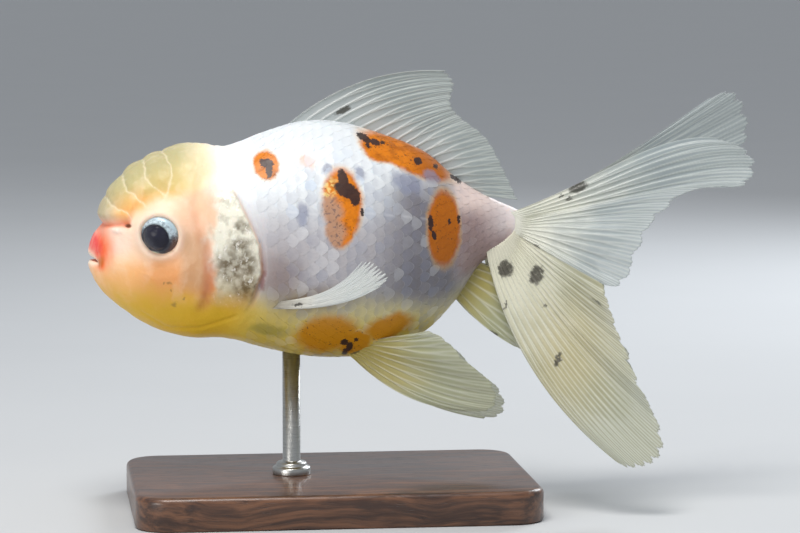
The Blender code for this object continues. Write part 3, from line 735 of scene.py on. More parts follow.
def skin_finish():
    finish = Finish("skin")
    mark = finish.mark
    place = finish.place()
    height = place.axis("Z")
    along = place.axis("X")
    fine = ragged(place, 0.8, 0.8)
    loose = ragged(place, 0.3, 1.4)
    low = loose.axis("Z")
    cover = mark("cover")
    redness = mark("redness")

    peach = finish.mix(PEACH, PEACH_DEEP, along.rise(-37, -31))
    cheek = finish.coats(
        THROAT, (peach, low.rise(36.5, 43.5)),
        (CHEEK_PINK, (low + along * -0.2).rise(50, 56)),
        (TEMPLE, along.rise(-29.5, -25) * low.rise(43, 50)),
        (BEIGE, bell_mark(along + 25, 3.2) * low.rise(53, 49) * low.rise(39, 43) * 0.75),
        (NECK_WHITE, along.rise(-24.5, -19.5) * height.rise(55, 60)),
        (SNOUT_PINK, along.rise(-34, -37.5) * low.rise(45.5, 48.5) * 0.8))
    vermilion = blobs(place, VERMILION_BLOBS, 1.8, 0.2)
    coral = blobs(ragged(place, 0.6, 0.4), CORAL_BLOBS, 1.55, 0.35)

    olive = blobs(fine, OLIVE_BLOBS, 1.5, 0.35)
    olive = olive * (place.grain(0.9, 4).rise(0.34, 0.62) * 0.5 + 0.5)
    streaks = fine.stretched(1.6, 1.6, 0.5).grain(1, 4)
    silver = finish.coats(
        SILVER, (DULL_SILVER, place.grain(0.7, 4).rise(0.42, 0.7)),
        (BRASS, low.rise(45, 38.5) * 0.8),
        (finish.mix(UMBER, OLIVE, low.rise(42, 48)), olive * 0.92),
        (SNOW, streaks.rise(0.58, 0.7) * 0.55))

    lobe = finish.coats(
        WEN_AMBER, (WEN_YELLOW, low.rise(55.5, 59.5)),
        (WEN_CREAM, along.rise(-30.5, -25.5) * 0.85),
        (WEN_PINK, along.rise(-38, -40.4) * low.rise(58, 55.5)),
        (WEN_RIM, mark("crown") * along.rise(-21, -24.5) * 0.85),
        (WEN_IVORY, along.rise(-28, -21.5) * 0.85),
        (NECK_WHITE, along.rise(-23.5, -19) * 0.95),
        (FURROW_CREAM, mark("furrow").rise(0.1, 1.1) * 0.55))

    flesh, _ = calico(place)
    pale = loose.stretched(0.4, 0.4, 0.16).grain(1, 3).rise(0.45, 0.75)
    colour = finish.coats(
        flesh, (cheek, mark("head")),
        (finish.mix(VERMILION, CORAL, coral), vermilion.most(coral) * mark("front")),
        (RUST, blobs(place, SLIT_BLOBS, 1.8, 0.3) * mark("front") * 0.9),
        (silver, cover * low.rise(35.5, 41.5) * 0.95),
        (GILL_RED, redness * 0.9),
        (GILL_BROWN, redness * low.rise(43, 38.5) * 0.7),
        # Painted shade: mauve in the groove behind the gill cover's free edge.
        (SLIT_SHADE_MAUVE, mark("slit") * low.rise(50, 45) * 0.4),
        (lobe, mark("crest")),
        (FOLD_RED, mark("fold") * 0.75),
        (SOCKET_PINK, mark("socket") * 0.4),
        (LIP_CREAM, mark("rim") * 0.7),
        (MOUTH_PINK, mark("mouth")),
        (FLAP_PINK, mark("flap") * 0.7),
        (NOSTRIL_BROWN, mark("nostril").rise(0.2, 0.7)),
        (SPECK_BROWN, blobs(fine, SPECK_BLOBS, 1.8, 0.4) * 0.55),
        (PALE_PEACH, pale * mark("head") * 0.35 * (1 - cover) * low.rise(36, 42) * 0.6))
    glitter = place.grain(3, 3)
    finish.set(Base_Color=colour, Roughness=glitter * 0.2 + 0.34,
               Metallic=cover * glitter.rise(0.5, 0.66) * 0.4,
               Subsurface_Weight=0.3, Subsurface_Radius=(1, 0.62, 0.42),
               Subsurface_Scale=0.0014, Specular_IOR_Level=0.28, Coat_Weight=0.06,
               Coat_Roughness=0.2)
    finish.bump(place.grain(1.8, 4) + cover * place.grain(1.2, 5), 0.06)
    return finish


redness = cheek_span * bell(cheek_gap - 0.2, 0.9) * (0.35 + 0.65 * ramp(z, 52, 42))
redness *= ramp(z, 57, 51) * ramp(z, 35.5, 40)
redness *= 0.7 + 0.5 * rough(bare, 0.3, 3)
crest = ramp(over_line + 0.5 * rough(bare, 0.4), -1, 1.6) * outside
crest = crest * ramp(x, -17, -22) * ramp(over_line, -1.6, 0)
crown = ramp(bare_normals[..., 2] - 0.6 * bare_normals[..., 0], 0.38, 1.05)
marks = {
    "head": head, "front": ramp(x, -36.5, -39), "crest": crest, "crown": crown,
    "furrow": furrow, "cover": cover, "socket": socket_ring,
    "fold": bell(over_line + 0.2, 0.75) * ramp(x, -35.4, -36.6) * outside,
    "redness": redness * (1 - 0.4 * cover), "slit": slit * edge_span,
    "rim": bell(step_of - LIP_EDGE - 0.6, 1), "nostril": nostril, "flap": flap,
    "mouth": ramp(step_of, LIP_EDGE - 0.2, LIP_EDGE - 2),
}
skin_points = capped(skin_grid)
skin_faces = outward(skin_points, tube_faces(len(steps), RING_POINTS))
skin = spread_mesh("skin", skin_points, skin_faces, skin_finish(),
                   {key: capped(value) for key, value in marks.items()})
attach(skin, "root")
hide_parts("head", "upper_lip", "lower_jaw", "wen", "gill_cover_left",
            "gill_cover_right", "trunk", "tail_stalk")


# ---------------------------------------------------------------- scales
# Thin horny plates in staggered rows that run with the lateral line, each rooted under the two
# before it and free at its hind edge. Cast in pearly resin and laid on the skin one by one.

LATERAL_LINE = ((-20, 55), (-3.2, 54.3), (5.4, 54.1), (14, 53.2), (24, 51.4), (36, 50))
COLUMN_STEP = ((-20, 1.74), (12, 1.7), (24, 1.45), (36, 1.2))
ROW_STEP = ((-20, 2.45), (10, 2.4), (24, 2), (36, 1.5))
SCALE_START = -17.5
SCALE_STOP = 29
SCALE_END = 33.5
SCALE_LENGTH = 2.15           # in column steps
SCALE_HALF = 0.66             # in row steps
SCALE_THICK = 0.032
SCALE_SINK = 0.055            # how deep the root lies, and how high the free edge stands
SCALE_LIFT = 0.07
SCALE_DOME = 0.03             # how far the sides lie below the middle
SCALE_ROUND = 0.34            # how round the free edge is, and how narrow the root
SCALE_WAIST = 0.18
SCALE_SWAY = 0.035            # spread of their slant
NECK_GAP = 0.25               # from the gill cover's edge to the first scales
CANAL_HEIGHT = 0.02           # of the tube along the scales of the lateral line
BRIGHT_SHARE = 0.16           # share of scales that shine
SHARP_ANGLE = math.radians(40)
ALONG_CELLS = 7
ACROSS_CELLS = 8
OFFSET_REACH = 62             # of the bed, from the lateral line up and down, and its grid
OFFSET_STEP = 0.5
PATCH_SIZE = 0.003            # of a scale on the map, which unwraps the skin by ring and turn

trunk_rings = np.flatnonzero((steps > LIP_END) & (bare[:, 0, 0] > SCALE_START - 4)
                             & (bare[:, 0, 0] < SCALE_END))
ring_x = bare[trunk_rings, 0, 0]
offsets = np.arange(-OFFSET_REACH, OFFSET_REACH + OFFSET_STEP / 2, OFFSET_STEP)
bed = np.empty((len(trunk_rings), len(offsets), 3))
bed_turn = np.empty(bed.shape[:2])
back_offset = np.empty(len(trunk_rings))
belly_offset = np.empty(len(trunk_rings))
half_way = RING_POINTS // 2
for row, ring in enumerate(trunk_rings):
    loop = np.concatenate([skin_grid[ring], skin_grid[ring][:1]])
    arc = np.concatenate([[0], np.cumsum(np.linalg.norm(np.diff(loop, axis=0), axis=1))])
    line_z = at_x(LATERAL_LINE, ring_x[row])
    line_arc = np.interp(-line_z, -loop[:half_way, 2], arc[:half_way])
    back_offset[row] = -line_arc
    belly_offset[row] = arc[half_way] - line_arc
    spots = np.mod(line_arc + offsets, arc[-1])
    for axis in range(3):
        bed[row, :, axis] = np.interp(spots, arc, loop[:, axis])
    bed_turn[row] = spots / arc[-1]
    bed_turn[row, bed_turn[row] > 0.5] -= 1
bed_normals = unit(np.cross(np.gradient(bed, axis=1), np.gradient(bed, axis=0)))


def on_bed(table, x, offset):
    """A value of the bed at a place along the fish and an arc distance from the lateral line."""
    row = np.interp(x, ring_x, np.arange(len(ring_x)))
    column = np.clip((offset + OFFSET_REACH) / OFFSET_STEP, 0, len(offsets) - 1.001)
    low_row = np.minimum(row.astype(int), len(ring_x) - 2)
    low_column = column.astype(int)
    r, c = row - low_row, column - low_column
    if table.ndim == 3:
        r, c = r[..., None], c[..., None]
    return ((1 - r) * ((1 - c) * table[low_row, low_column] + c * table[low_row, low_column + 1])
            + r * ((1 - c) * table[low_row + 1, low_column]
                   + c * table[low_row + 1, low_column + 1]))


def scale_roots():
    """Place, arc distance, row number and steps of every scale of one side."""
    roots = []
    at = SCALE_START
    column = 0
    while at < SCALE_STOP:
        column_step, row_step = at_x(COLUMN_STEP, at), at_x(ROW_STEP, at)
        shift = 0.5 * (column % 2)
        first = math.ceil(np.interp(at, ring_x, back_offset) / row_step - shift)
        last = math.floor(np.interp(at, ring_x, belly_offset) / row_step - shift)
        for row in range(first, last + 1):
            roots.append((at, (row + shift) * row_step, row + shift, column_step, row_step))
        at += column_step
        column += 1
    return np.array(roots)


def sheet_faces(columns, rows):
    """Quads of a closed sheet: a grid of points, the same grid behind it, and the rim."""
    stride = rows + 1
    back = (columns + 1) * stride
    i, j = np.meshgrid(np.arange(columns), np.arange(rows), indexing="ij")
    a = (i * stride + j).ravel()
    front = np.stack([a, a + 1, a + stride + 1, a + stride], axis=1)
    down, over = np.arange(rows), stride * np.arange(columns)
    walk = np.concatenate([down, rows + over, back - 1 - down, back - stride - over])
    after = np.roll(walk, -1)
    rim = np.stack([after, walk, walk + back, after + back], axis=1)
    return np.concatenate([front, front[:, ::-1] + back, rim])


def scale_coat(name, side, finish):
    """All scales of one flank as one mesh of closed plates."""
    roots = scale_roots()
    middle = on_bed(bed, roots[:, 0] + 0.5, roots[:, 1])
    roots = roots[roots[:, 0] > at_z(NECK_LINE, middle[:, 2]) + NECK_GAP]
    count = len(roots)
    root_at, root_offset, number, column_step, row_step = roots.T[..., None, None]
    p = np.linspace(0, 1, ALONG_CELLS + 1)[:, None]
    q = np.linspace(-1, 1, ACROSS_CELLS + 1)
    length = column_step * SCALE_LENGTH * rng.uniform(0.96, 1.05, (count, 1, 1))
    at = np.minimum(root_at + length * p * (1 - SCALE_ROUND * q ** 2 * p), ring_x[-1])
    sway = rng.normal(0, SCALE_SWAY, (count, 1, 1))
    waist = 1 - SCALE_WAIST + SCALE_WAIST * np.sin(math.pi * p)
    offset = root_offset + row_step * SCALE_HALF * q * waist + sway * length * p
    for end in (back_offset, belly_offset):     # rows draw together as the body narrows
        taper = np.interp(at, ring_x, end) / np.interp(root_at, ring_x, end)
        offset = np.where(np.sign(offset) == np.sign(end[0]), offset * taper, offset)
    points = on_bed(bed, at, offset)
    normals = on_bed(bed_normals, at, offset)
    lift = SCALE_LIFT * rng.uniform(0.85, 1.2, (count, 1, 1))
    height = -SCALE_SINK + (SCALE_SINK + lift) * p ** 0.95 - SCALE_DOME * q ** 2
    canal = (number == 0) * bell(q, 0.13) * ramp(p, 0.45, 0.6) * ramp(p, 1, 0.85)
    height = height + CANAL_HEIGHT * canal
    thick = SCALE_THICK * (1 - 0.35 * p ** 3)
    top = points + normals * height[..., None]
    under = points + normals * (height - thick)[..., None]
    vertices = np.stack([top, under], axis=1).reshape(-1, 3)
    vertices[:, 1] *= -side

    first = 2 * (ALONG_CELLS + 1) * (ACROSS_CELLS + 1) * np.arange(count)[:, None, None]
    faces = (sheet_faces(ALONG_CELLS, ACROSS_CELLS) + first).reshape(-1, 4)
    shape = np.ones((count, 2, ALONG_CELLS + 1, ACROSS_CELLS + 1))
    bright = (rng.random(count) < BRIGHT_SHARE) * rng.uniform(0.5, 1, count)
    marks = {"shade": rng.random((count, 1, 1, 1)), "bright": bright[:, None, None, None],
             "reach": p, "across": np.abs(q), "canal": canal[:, None]}
    coat = spread_mesh(name, vertices, outward(vertices, [faces]), finish,
                       {key: value * shape for key, value in marks.items()})
    coat.data.set_sharp_from_angle(angle=SHARP_ANGLE)
    turn = np.abs(on_bed(bed_turn, roots[:, 0], roots[:, 1]))
    turn = turn if side < 0 else 1 - turn
    run = (roots[:, 0] - ring_x[0]) / (ring_x[-1] - ring_x[0])
    u = run[:, None, None, None] + PATCH_SIZE * (p - 0.5) * shape
    v = turn[:, None, None, None] + PATCH_SIZE * q / 2 * shape
    chart = np.stack([u, v], axis=-1).reshape(-1, 2)
    corner = np.empty(len(coat.data.loops), np.int32)
    coat.data.loops.foreach_get("vertex_index", corner)
    layer = coat.data.uv_layers.new(name="OFBake")
    layer.uv.foreach_set("vector", chart[corner].astype(np.float32).ravel())
    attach(coat, "root")


ROOT_SHADOW_GREY = tint(116, 118, 140)
SCALE_BLUE = tint(150, 160, 184)
SCALE_WHITE = tint(250, 252, 255)
SKY_REFLECTION_BLUE = tint(190, 208, 232)
RIM_PALE_AND_HIGHLIGHT = tint(246, 248, 250)
CANAL_WHITE = tint(250, 250, 250)


def scale_finish():
    finish = Finish("scales")
    place = finish.place()
    height = place.axis("Z")
    along = place.axis("X")
    reach, shade, bright = map(finish.mark, ("reach", "shade", "bright"))
    colour, marked = calico(place)
    bare = (1 - marked) * (height.rise(66, 60) * 0.7 + 0.3) * (along.rise(-13, -4) * 0.7 + 0.3)
    bare = bare * (along.rise(26, 19) * 0.8 + 0.2)
    # Painted shadow: grey bars at each scale's root, where the free edges of the scales before it
    # overlap.
    root_shadow = reach.rise(0.82, 0.54) * finish.mark("across").rise(0.85, 0.3)
    canal = finish.mark("canal") * (1 - marked) * along.rise(27, 20)
    colour = finish.coats(
        colour, (ROOT_SHADOW_GREY, root_shadow * bare * 0.2),
        (SCALE_BLUE, shade.rise(0.55, 1) * bare * 0.24),
        (SCALE_WHITE, shade.rise(0.3, 0) * bare * 0.22),
        # Painted reflection: the shining scales of the upper front flank are painted sky blue.
        (SKY_REFLECTION_BLUE, bright * height.rise(50, 56) * bare * along.rise(14, 4) * 0.5),
        # Each scale's free edge is lighter: partly its thin pale margin, partly painted highlight.
        (RIM_PALE_AND_HIGHLIGHT, reach.rise(0.93, 1) * bare * 0.12),
        (CANAL_WHITE, canal * 0.2))
    finish.set(Base_Color=colour, Roughness=place.grain(1.6, 3) * 0.2 + 0.28 - bright * 0.08,
               Subsurface_Weight=0.15, Subsurface_Radius=(1, 0.8, 0.7),
               Subsurface_Scale=0.0008, Specular_IOR_Level=0.28, Coat_Weight=0.08,
               Coat_Roughness=0.15)
    finish.bump(place.stretched(1.2, 7, 7).grain(1), 0.03)
    return finish


scale_paint = scale_finish()
scale_coat("scales_left", -1, scale_paint)
scale_coat("scales_right", 1, scale_paint)


# ---------------------------------------------------------------- eyes
# Glass eyes: a painted iris disc with the dark lens bulging through it, under a clear cornea.
# They sit in the sockets, turned a little forward and down.

EYE_TURNS = 96
SLIDE_OUTER = 3.3             # rings inside this radius slide, fully after a span inwards
SLIDE_SPAN = 0.84
LENS_SLIDE = (-0.45, -0.15)   # the lens sits this far towards the snout and down
CORNEA_BEND = 1.4             # index of refraction
LENS_RINGS = ((0, 2.74), (0.5, 2.7), (1, 2.58), (1.5, 2.36), (1.9, 2.07), (2.2, 1.78), (2.4, 1.52))
IRIS_RINGS = ((2.46, 1.54), (2.65, 1.64), (2.9, 1.6), (3.2, 1.35), (3.4, 0.95), (3.48, 0.5),
              (3.5, 0), (3.3, -0.9), (2.6, -1.7), (1.4, -2.2))
CORNEA_RINGS = ((0, 3.02), (0.6, 2.99), (1.2, 2.88), (1.8, 2.68), (2.4, 2.38), (2.9, 2.02),
                (3.3, 1.56), (3.5, 1.1), (3.56, 0.7), (3.46, 0.66), (3.4, 1.06), (3.2, 1.5),
                (2.8, 1.94), (2.3, 2.29), (1.7, 2.58), (1.1, 2.8), (0.5, 2.9), (0, 2.93))


def turned_eye(name, side, profile, finish, gaze=0, slide=(0, 0)):
    """Round piece on the eye's axis, from (radius, height) points that begin on the axis. Its
    inner rings are slid by two distances, towards the tail and up."""
    middle, out, aft, up = eye_frame(side, gaze)
    spin = np.arange(EYE_TURNS) * 2 * math.pi / EYE_TURNS
    first, *rings, last = np.array(profile, float)
    if last[0] > 0:
        rings.append(last)
        last = last - (0, 0.1)
    rings = np.array(rings)
    radial = aft * np.cos(spin)[:, None] + up * np.sin(spin)[:, None]
    grid = middle + rings[:, 0, None, None] * radial + rings[:, 1, None, None] * out
    slid = aft * slide[0] + up * slide[1]
    share = np.clip((SLIDE_OUTER - rings[:, 0]) / SLIDE_SPAN, 0, 1) * (rings[:, 1] > 0.2)
    grid = grid + share[:, None, None] * slid
    vertices = np.concatenate([grid.reshape(-1, 3), [middle + out * first[1] + slid],
                               [middle + out * last[1]]])
    faces = outward(vertices, tube_faces(len(rings), EYE_TURNS))
    marks = {"radius": np.repeat(rings[:, 0], EYE_TURNS), "aft": np.tile(np.cos(spin), len(rings)),
             "up": np.tile(np.sin(spin), len(rings))}
    piece = spread_mesh(name, vertices, faces, finish,
                        {key: np.append(value, (0, 0)) for key, value in marks.items()})
    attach(piece, "root")
    return piece


IRIS_SILVER = tint(196, 212, 220)
IRIS_GREY = tint(142, 158, 168)
IRIS_SHADOW = tint(40, 42, 52)
IRIS_RUST = tint(112, 60, 18)
IRIS_GLINT = tint(196, 196, 168)
IRIS_INNER = tint(30, 34, 44)
IRIS_BLUE = tint(186, 210, 222)
PUPIL = tint(15, 14, 36)


def eye_finish():
    finish = Finish("eye")
    radius, up, aft = map(finish.mark, ("radius", "up", "aft"))
    fleck = finish.place().grain(2.2, 4)
    shadow = (up * -1 + aft * -0.25 + (fleck - 0.5) * 0.6).rise(-0.6, 0.15)
    rust = aft.rise(0.1, 0.9) * up.rise(0.35, -0.4)
    glint = bell_mark(up + 0.93, 0.1) * bell_mark(aft + 0.15, 0.3) * radius.rise(2.5, 2.7)
    lit = up.rise(0, 0.6).most(aft.rise(-0.5, -0.9) * up.rise(-0.4, 0))
    colour = finish.coats(
        IRIS_SILVER, (IRIS_GREY, fleck.rise(0.42, 0.66)),
        (IRIS_SHADOW, shadow),
        (IRIS_RUST, rust * radius.rise(2.6, 3.2) * 0.6),
        (IRIS_GLINT, glint * radius.rise(3.3, 3.1)),
        (IRIS_INNER, radius.rise(2.7, 2.5) * 0.6),
        (IRIS_BLUE, radius.rise(3.1, 3.35) * lit),
        (PUPIL, radius.rise(2.5, 2.44)))
    finish.set(Base_Color=colour, Roughness=radius.rise(2.44, 2.5) * 0.25 + 0.08,
               Metallic=radius.rise(2.5, 2.6) * 0.2, Specular_IOR_Level=0.15)
    finish.bump(fleck * radius.rise(2.44, 2.6), 0.04)
    return finish


def cornea_finish():
    finish = Finish("cornea")
    drift = finish.place().grain(0.6)
    finish.set(Base_Color=finish.mix(tint(228, 234, 240), tint(250, 252, 255), drift),
               Roughness=drift * 0.02 + 0.02, Specular_IOR_Level=1)
    gloss = (finish.node("Fresnel", {"IOR": CORNEA_BEND}) * 0.4).least(0.045)
    clear = finish.node("BsdfTransparent")
    finish.surface(finish.node("MixShader", {0: gloss, 1: clear, 2: finish.body}))
    return finish


eye_paint = eye_finish()
cornea_glass = cornea_finish()
for side_name, side in (("left", -1), ("right", 1)):
    eye = turned_eye("eyeball_" + side_name, side, LENS_RINGS + IRIS_RINGS, eye_paint,
                     GAZE, LENS_SLIDE)
    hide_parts("eye_" + side_name)
    turned_eye("cornea_" + side_name, side, CORNEA_RINGS, cornea_glass)


# ---------------------------------------------------------------- fins
# Thin soft webs stretched between bony rays, which fork twice on their way to the margin. The
# rays stand up from both faces, the margin is cut in between them, and the web is milky at the
# root and clears towards the edge. Cast in tinted silicone, each fin on its own fleshy root.

COLUMNS_PER_RAY = 14          # columns of the mesh
WEB = 0.16                    # thickness of the web, and what a ray adds at its root and tip
RAY_ROOT = 0.4
RAY_TIP = 0.11
ROOT_FLESH = 1.5
ROOT_SPAN = 0.1
FORK_ONE = (0.26, 0.6)        # shares of the length over which a ray parts, and parts again
FORK_TWO = (0.58, 0.95)
FORK_SPREAD = 0.25            # in ray distances, and half of it for the second fork
RAY_WIDE = 0.135              # at the root and towards the tip, in the same measure
RAY_NARROW = 0.065
MARGIN_CUT = 0.022            # depth of the cuts, as shares of the length
SCALLOP_CUT = 0.04


def ray_fin(name, node, root, tips, bow, rays, rows, finish, lag=1, pleats=0, depth=0,
            crimp=0.07, first_ray=1, fray=0, gather=0, scallops=0):
    """Closed web of rays, in the place of a frame node.

    root, tips and bow are key points from the leading ray to the last: where a ray starts,
    where it ends, and how far its middle is pushed off the straight line. A lag above 1 moves
    the widest part of that bow towards the tips. pleats and depth fold the whole fin, crimp
    folds the web between the rays, fray cuts the margin in between them and scallops does so
    between groups of rays, at one end. first_ray thickens the leading ray, and gather keeps the
    rays together for longer.
    """
    columns = (rays - 1) * COLUMNS_PER_RAY
    u, v = np.meshgrid(np.linspace(0, 1, columns + 1), np.linspace(0, 1, rows + 1), indexing="ij")
    ray = u * (rays - 1)
    number = np.clip(np.round(ray), 0, rays - 1)
    beside = ray - number
    bent = 0.1 * rng.normal(0, 1, rays)[number.astype(int)] * (np.abs(beside) < 0.5)
    first = FORK_SPREAD * ramp(v, *FORK_ONE) * (number > 0)
    second = FORK_SPREAD / 2 * ramp(v, *FORK_TWO) * (number > 0)
    width = RAY_WIDE - (RAY_WIDE - RAY_NARROW) * ramp(v, 0, 0.8)
    ridge = np.maximum.reduce([bell(beside - one * first - two * second, width)
                               for one in (-1, 1) for two in (-1, 1)])
    trim = np.convolve(rng.normal(0, 1, rays), (0.25, 0.5, 0.25), "same")
    trim_line = np.interp(ray, np.arange(rays), trim)
    cut = MARGIN_CUT * (2 * np.abs(beside)) ** 2 + 0.008 * (1 - ridge) - 0.007 * trim_line
    weight = ramp(u if scallops > 0 else 1 - u, 0.3, 0.6) * (scallops != 0)
    cut += SCALLOP_CUT * (1 - np.abs(np.sin(math.pi * scallops * u ** 0.9)) ** 0.6) * weight
    cut += fray * np.abs(2 * beside) ** 1.5 * (0.7 + 0.3 * np.sin(2.6 * ray))
    reach = v * (1 - cut * ramp(v, 0.6, 1))

    start = spline(root, u * (len(root) - 1))
    end = spline(tips, u * (len(tips) - 1))
    push = spline(bow, u * (len(bow) - 1))
    arch = 4 * reach ** lag * (1 - reach ** lag)
    axis = spline(tips, np.full(u.shape, 0.5 * (len(tips) - 1)))
    middle = start + (axis - start) * reach[..., None] + push * arch[..., None]
    middle = middle + (end - axis) * (reach ** (1 + gather))[..., None]

    def normals(points):
        return unit(np.cross(np.gradient(points, axis=0), np.gradient(points, axis=1)))

    wave = depth * v ** 1.3 * np.sin(2 * math.pi * pleats * u)
    wave += crimp * ramp(v, 0.1, 0.6) * (np.cos(2 * math.pi * ray)
                                         + 1.2 * np.sin(1.7 * ray + 3 * v + bent))
    middle = middle + normals(middle) * wave[..., None]
    leading = 1 + (first_ray - 1) * bell(ray, 0.45)
    thick = WEB + ridge * (RAY_ROOT + (RAY_TIP - RAY_ROOT) * ramp(v, 0, 0.75)) * leading
    thick *= ramp(v, 1.03, 0.97)
    thick += ROOT_FLESH * (1 - ramp(v, 0, ROOT_SPAN)) * (1 - 0.4 * ridge)
    offset = normals(middle) * thick[..., None] / 2
    vertices = np.concatenate([middle + offset, middle - offset]).reshape(-1, 3)
    marks = {"ray": ridge, "reach": reach, "lead": bell(ray, 0.5)}
    piece = spread_mesh(name, vertices, outward(vertices, [sheet_faces(columns, rows)]), finish,
                        {key: np.stack([value, value]) for key, value in marks.items()})
    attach(piece, "root")
    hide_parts(node)


def flipped(keys, side, shift=(0, 0, 0)):
    """Key points of the right fin (side 1) or the left one (-1), shifted."""
    return np.array(keys) * (1, side, 1) + shift


RAY_WHITE = tint(238, 240, 234)
WEB_CLEAR = tint(150, 162, 164)
WEB_LIGHT = (0.62, 0.64, 0.58)
SPOT_BROWN = tint(46, 36, 28)
RAY_JOINTS = 22               # how closely the bony joints of a ray follow each other
GLOW_SHARE = 0.3              # share of light that the web lets through from behind


def fin_finish(name, near, far, cloudy, clear, spots=(), stain=None):
    """Web that goes from one colour to another and from one opacity to another, with dark
    spots of pigment between the rays, and a stain of colour where one is given."""
    finish = Finish(name)
    place = finish.place()
    reach, ray = map(finish.mark, ("reach", "ray"))
    drift = place.grain(0.16, 3)
    colour = finish.mix(near, far, (reach + (drift - 0.5) * 0.5).rise(0.12, 0.72))
    if stain:
        paint, table = stain
        colour = finish.mix(colour, paint, blobs(ragged(place, 0.3, 1.5), table, 1.4, 0) * 0.7)
    colour = finish.mix(colour, RAY_WHITE, ray * 0.5 * reach.rise(0, 0.25))
    opacity = (reach + (drift - 0.5) * 0.3).rise(0.95, 0.12) * (cloudy - clear) + clear
    opacity = (opacity + ray * (1 - clear) * 0.5).most(finish.mark("lead") * 0.9)
    if spots:
        dark = blobs(ragged(place, 1.6, 0.7), spots, 1.15, 0.75)
        dark = dark * place.grain(2.2, 3).rise(0.22, 0.44)
        colour = finish.mix(colour, SPOT_BROWN, dark * 0.9)
        opacity = opacity.most(dark)
    finish.set(Base_Color=colour, Roughness=drift * 0.2 + 0.22, Coat_Weight=0.25,
               Coat_Roughness=0.12)
    joints = finish.node("TexWave", {"Vector": finish.node("CombineXYZ", {0: reach}),
                                     "Scale": RAY_JOINTS, "Distortion": 0.6},
                         wave_type="BANDS", bands_direction="X")
    finish.bump(joints * ray + place.grain(3) * 0.5, 0.05)
    glow = finish.node("BsdfTranslucent", {"Color": WEB_LIGHT})
    web = finish.node("MixShader", {0: GLOW_SHARE, 1: finish.body, 2: glow})
    clear_web = finish.node("BsdfTransparent")
    finish.surface(finish.node("MixShader", {0: opacity, 1: clear_web, 2: web}))
    return finish


DORSAL_ROOT = ((-9.6, 0, 67.3), (0, 0, 67.8), (9, 0, 65.6), (15, 0, 63.2), (20, 0, 59.8),
               (23.6, 0, 56.8))
DORSAL_TIPS = ((21.2, 0.9, 78.4), (22.6, 1.2, 76), (22.1, 1, 72.5), (23.8, 0.6, 70.2),
               (28.5, 0, 66.1), (31.6, -0.6, 60.3), (34, -0.8, 55.2))
DORSAL_BOW = ((-0.8, 0.6, 3.4), (-0.2, 0.6, 1.2), (0, 0.4, 0.5), (0, -0.3, 0.4), (0, 0, -0.2))
dorsal_web = fin_finish("dorsal_web", tint(186, 192, 194), WEB_CLEAR, 0.8, 0.55,
                        spots=((2.5, 71.5, 1.6, 0.5, -25),))
ray_fin("dorsal", "dorsal_fin", DORSAL_ROOT, DORSAL_TIPS, DORSAL_BOW, 19, 60, dorsal_web,
        first_ray=1.7)

PECTORAL_ROOT = ((-14.2, 11.4, 37.6), (-13.8, 11.6, 38.2), (-13.4, 11.8, 38.9))
PECTORAL_TIPS = ((6.4, 25.6, 42.8), (7.6, 25, 44.2), (6.8, 22.8, 45.4), (5.6, 20.6, 46.3),
                 (3.8, 18.6, 46.4))
PECTORAL_BOW = ((1.2, 0.6, -2.2), (1.1, 0.8, -2.2), (0.8, 0.6, -2))
PELVIC_ROOT = ((2.4, 4.6, 29), (4.4, 6.2, 29.8), (6.4, 7.6, 31))
PELVIC_TIPS = ((24.6, 10.6, 18.4), (27.4, 11.4, 18.7), (28.7, 12, 20.6), (27.5, 12.6, 23.9),
               (23, 12.6, 27.7), (19.2, 12, 31.6), (16.4, 11.4, 33))
PELVIC_BOW = ((-1, 1, -2.6), (0, 1, -1), (0.6, 1.2, 0.2))
RIGHT_PELVIC_SHIFT = (5, 0, -4.6)
ANAL_ROOT = ((21.6, 1.1, 39), (23.6, 1.1, 41.6), (25.4, 1, 44.4))
ANAL_TIPS = ((32.8, 5.4, 29.2), (35.2, 5.6, 28.4), (37.2, 5, 31), (37.6, 4, 34.6),
             (36.2, 2.8, 38.4), (33.4, 1.8, 41.2))
ANAL_BOW = ((-0.6, 0.4, -0.6), (0, 0.3, 0), (0.2, 0.1, 0.2))

pectoral_web = fin_finish("pectoral_web", tint(232, 226, 214), tint(226, 232, 234), 0.9, 0.5,
                          spots=((-7.2, 38.5, 1, 0.32, -6),))
belly_web = fin_finish("belly_web", tint(198, 182, 98), tint(184, 186, 146), 0.8, 0.55,
                       spots=((3.6, 29.8, 1, 1.6), (29, 31.3, 0.9, 0.6, 20)))
for side_name, side in (("left", -1), ("right", 1)):
    ray_fin("pectoral_" + side_name, "pectoral_fin_" + side_name, flipped(PECTORAL_ROOT, side),
            flipped(PECTORAL_TIPS, side), flipped(PECTORAL_BOW, side), 12, 56, pectoral_web,
            fray=0.14, gather=0.7)
    shift = RIGHT_PELVIC_SHIFT if side > 0 else (0, 0, 0)
    ray_fin("pelvic_" + side_name, "pelvic_fin_" + side_name, flipped(PELVIC_ROOT, side),
            flipped(PELVIC_TIPS, side, shift), flipped(PELVIC_BOW, side), 9, 60, belly_web,
            first_ray=1.4)
    ray_fin("anal_" + side_name, "anal_fin_" + side_name, flipped(ANAL_ROOT, side),
            flipped(ANAL_TIPS, side), flipped(ANAL_BOW, side), 7, 44, belly_web)


# ---------------------------------------------------------------- tail
# Four lobes in two halves that spread from the stalk to either side, with the fork between the
# upper and lower lobe of each half. Same make as the fins, in deeper pleats.

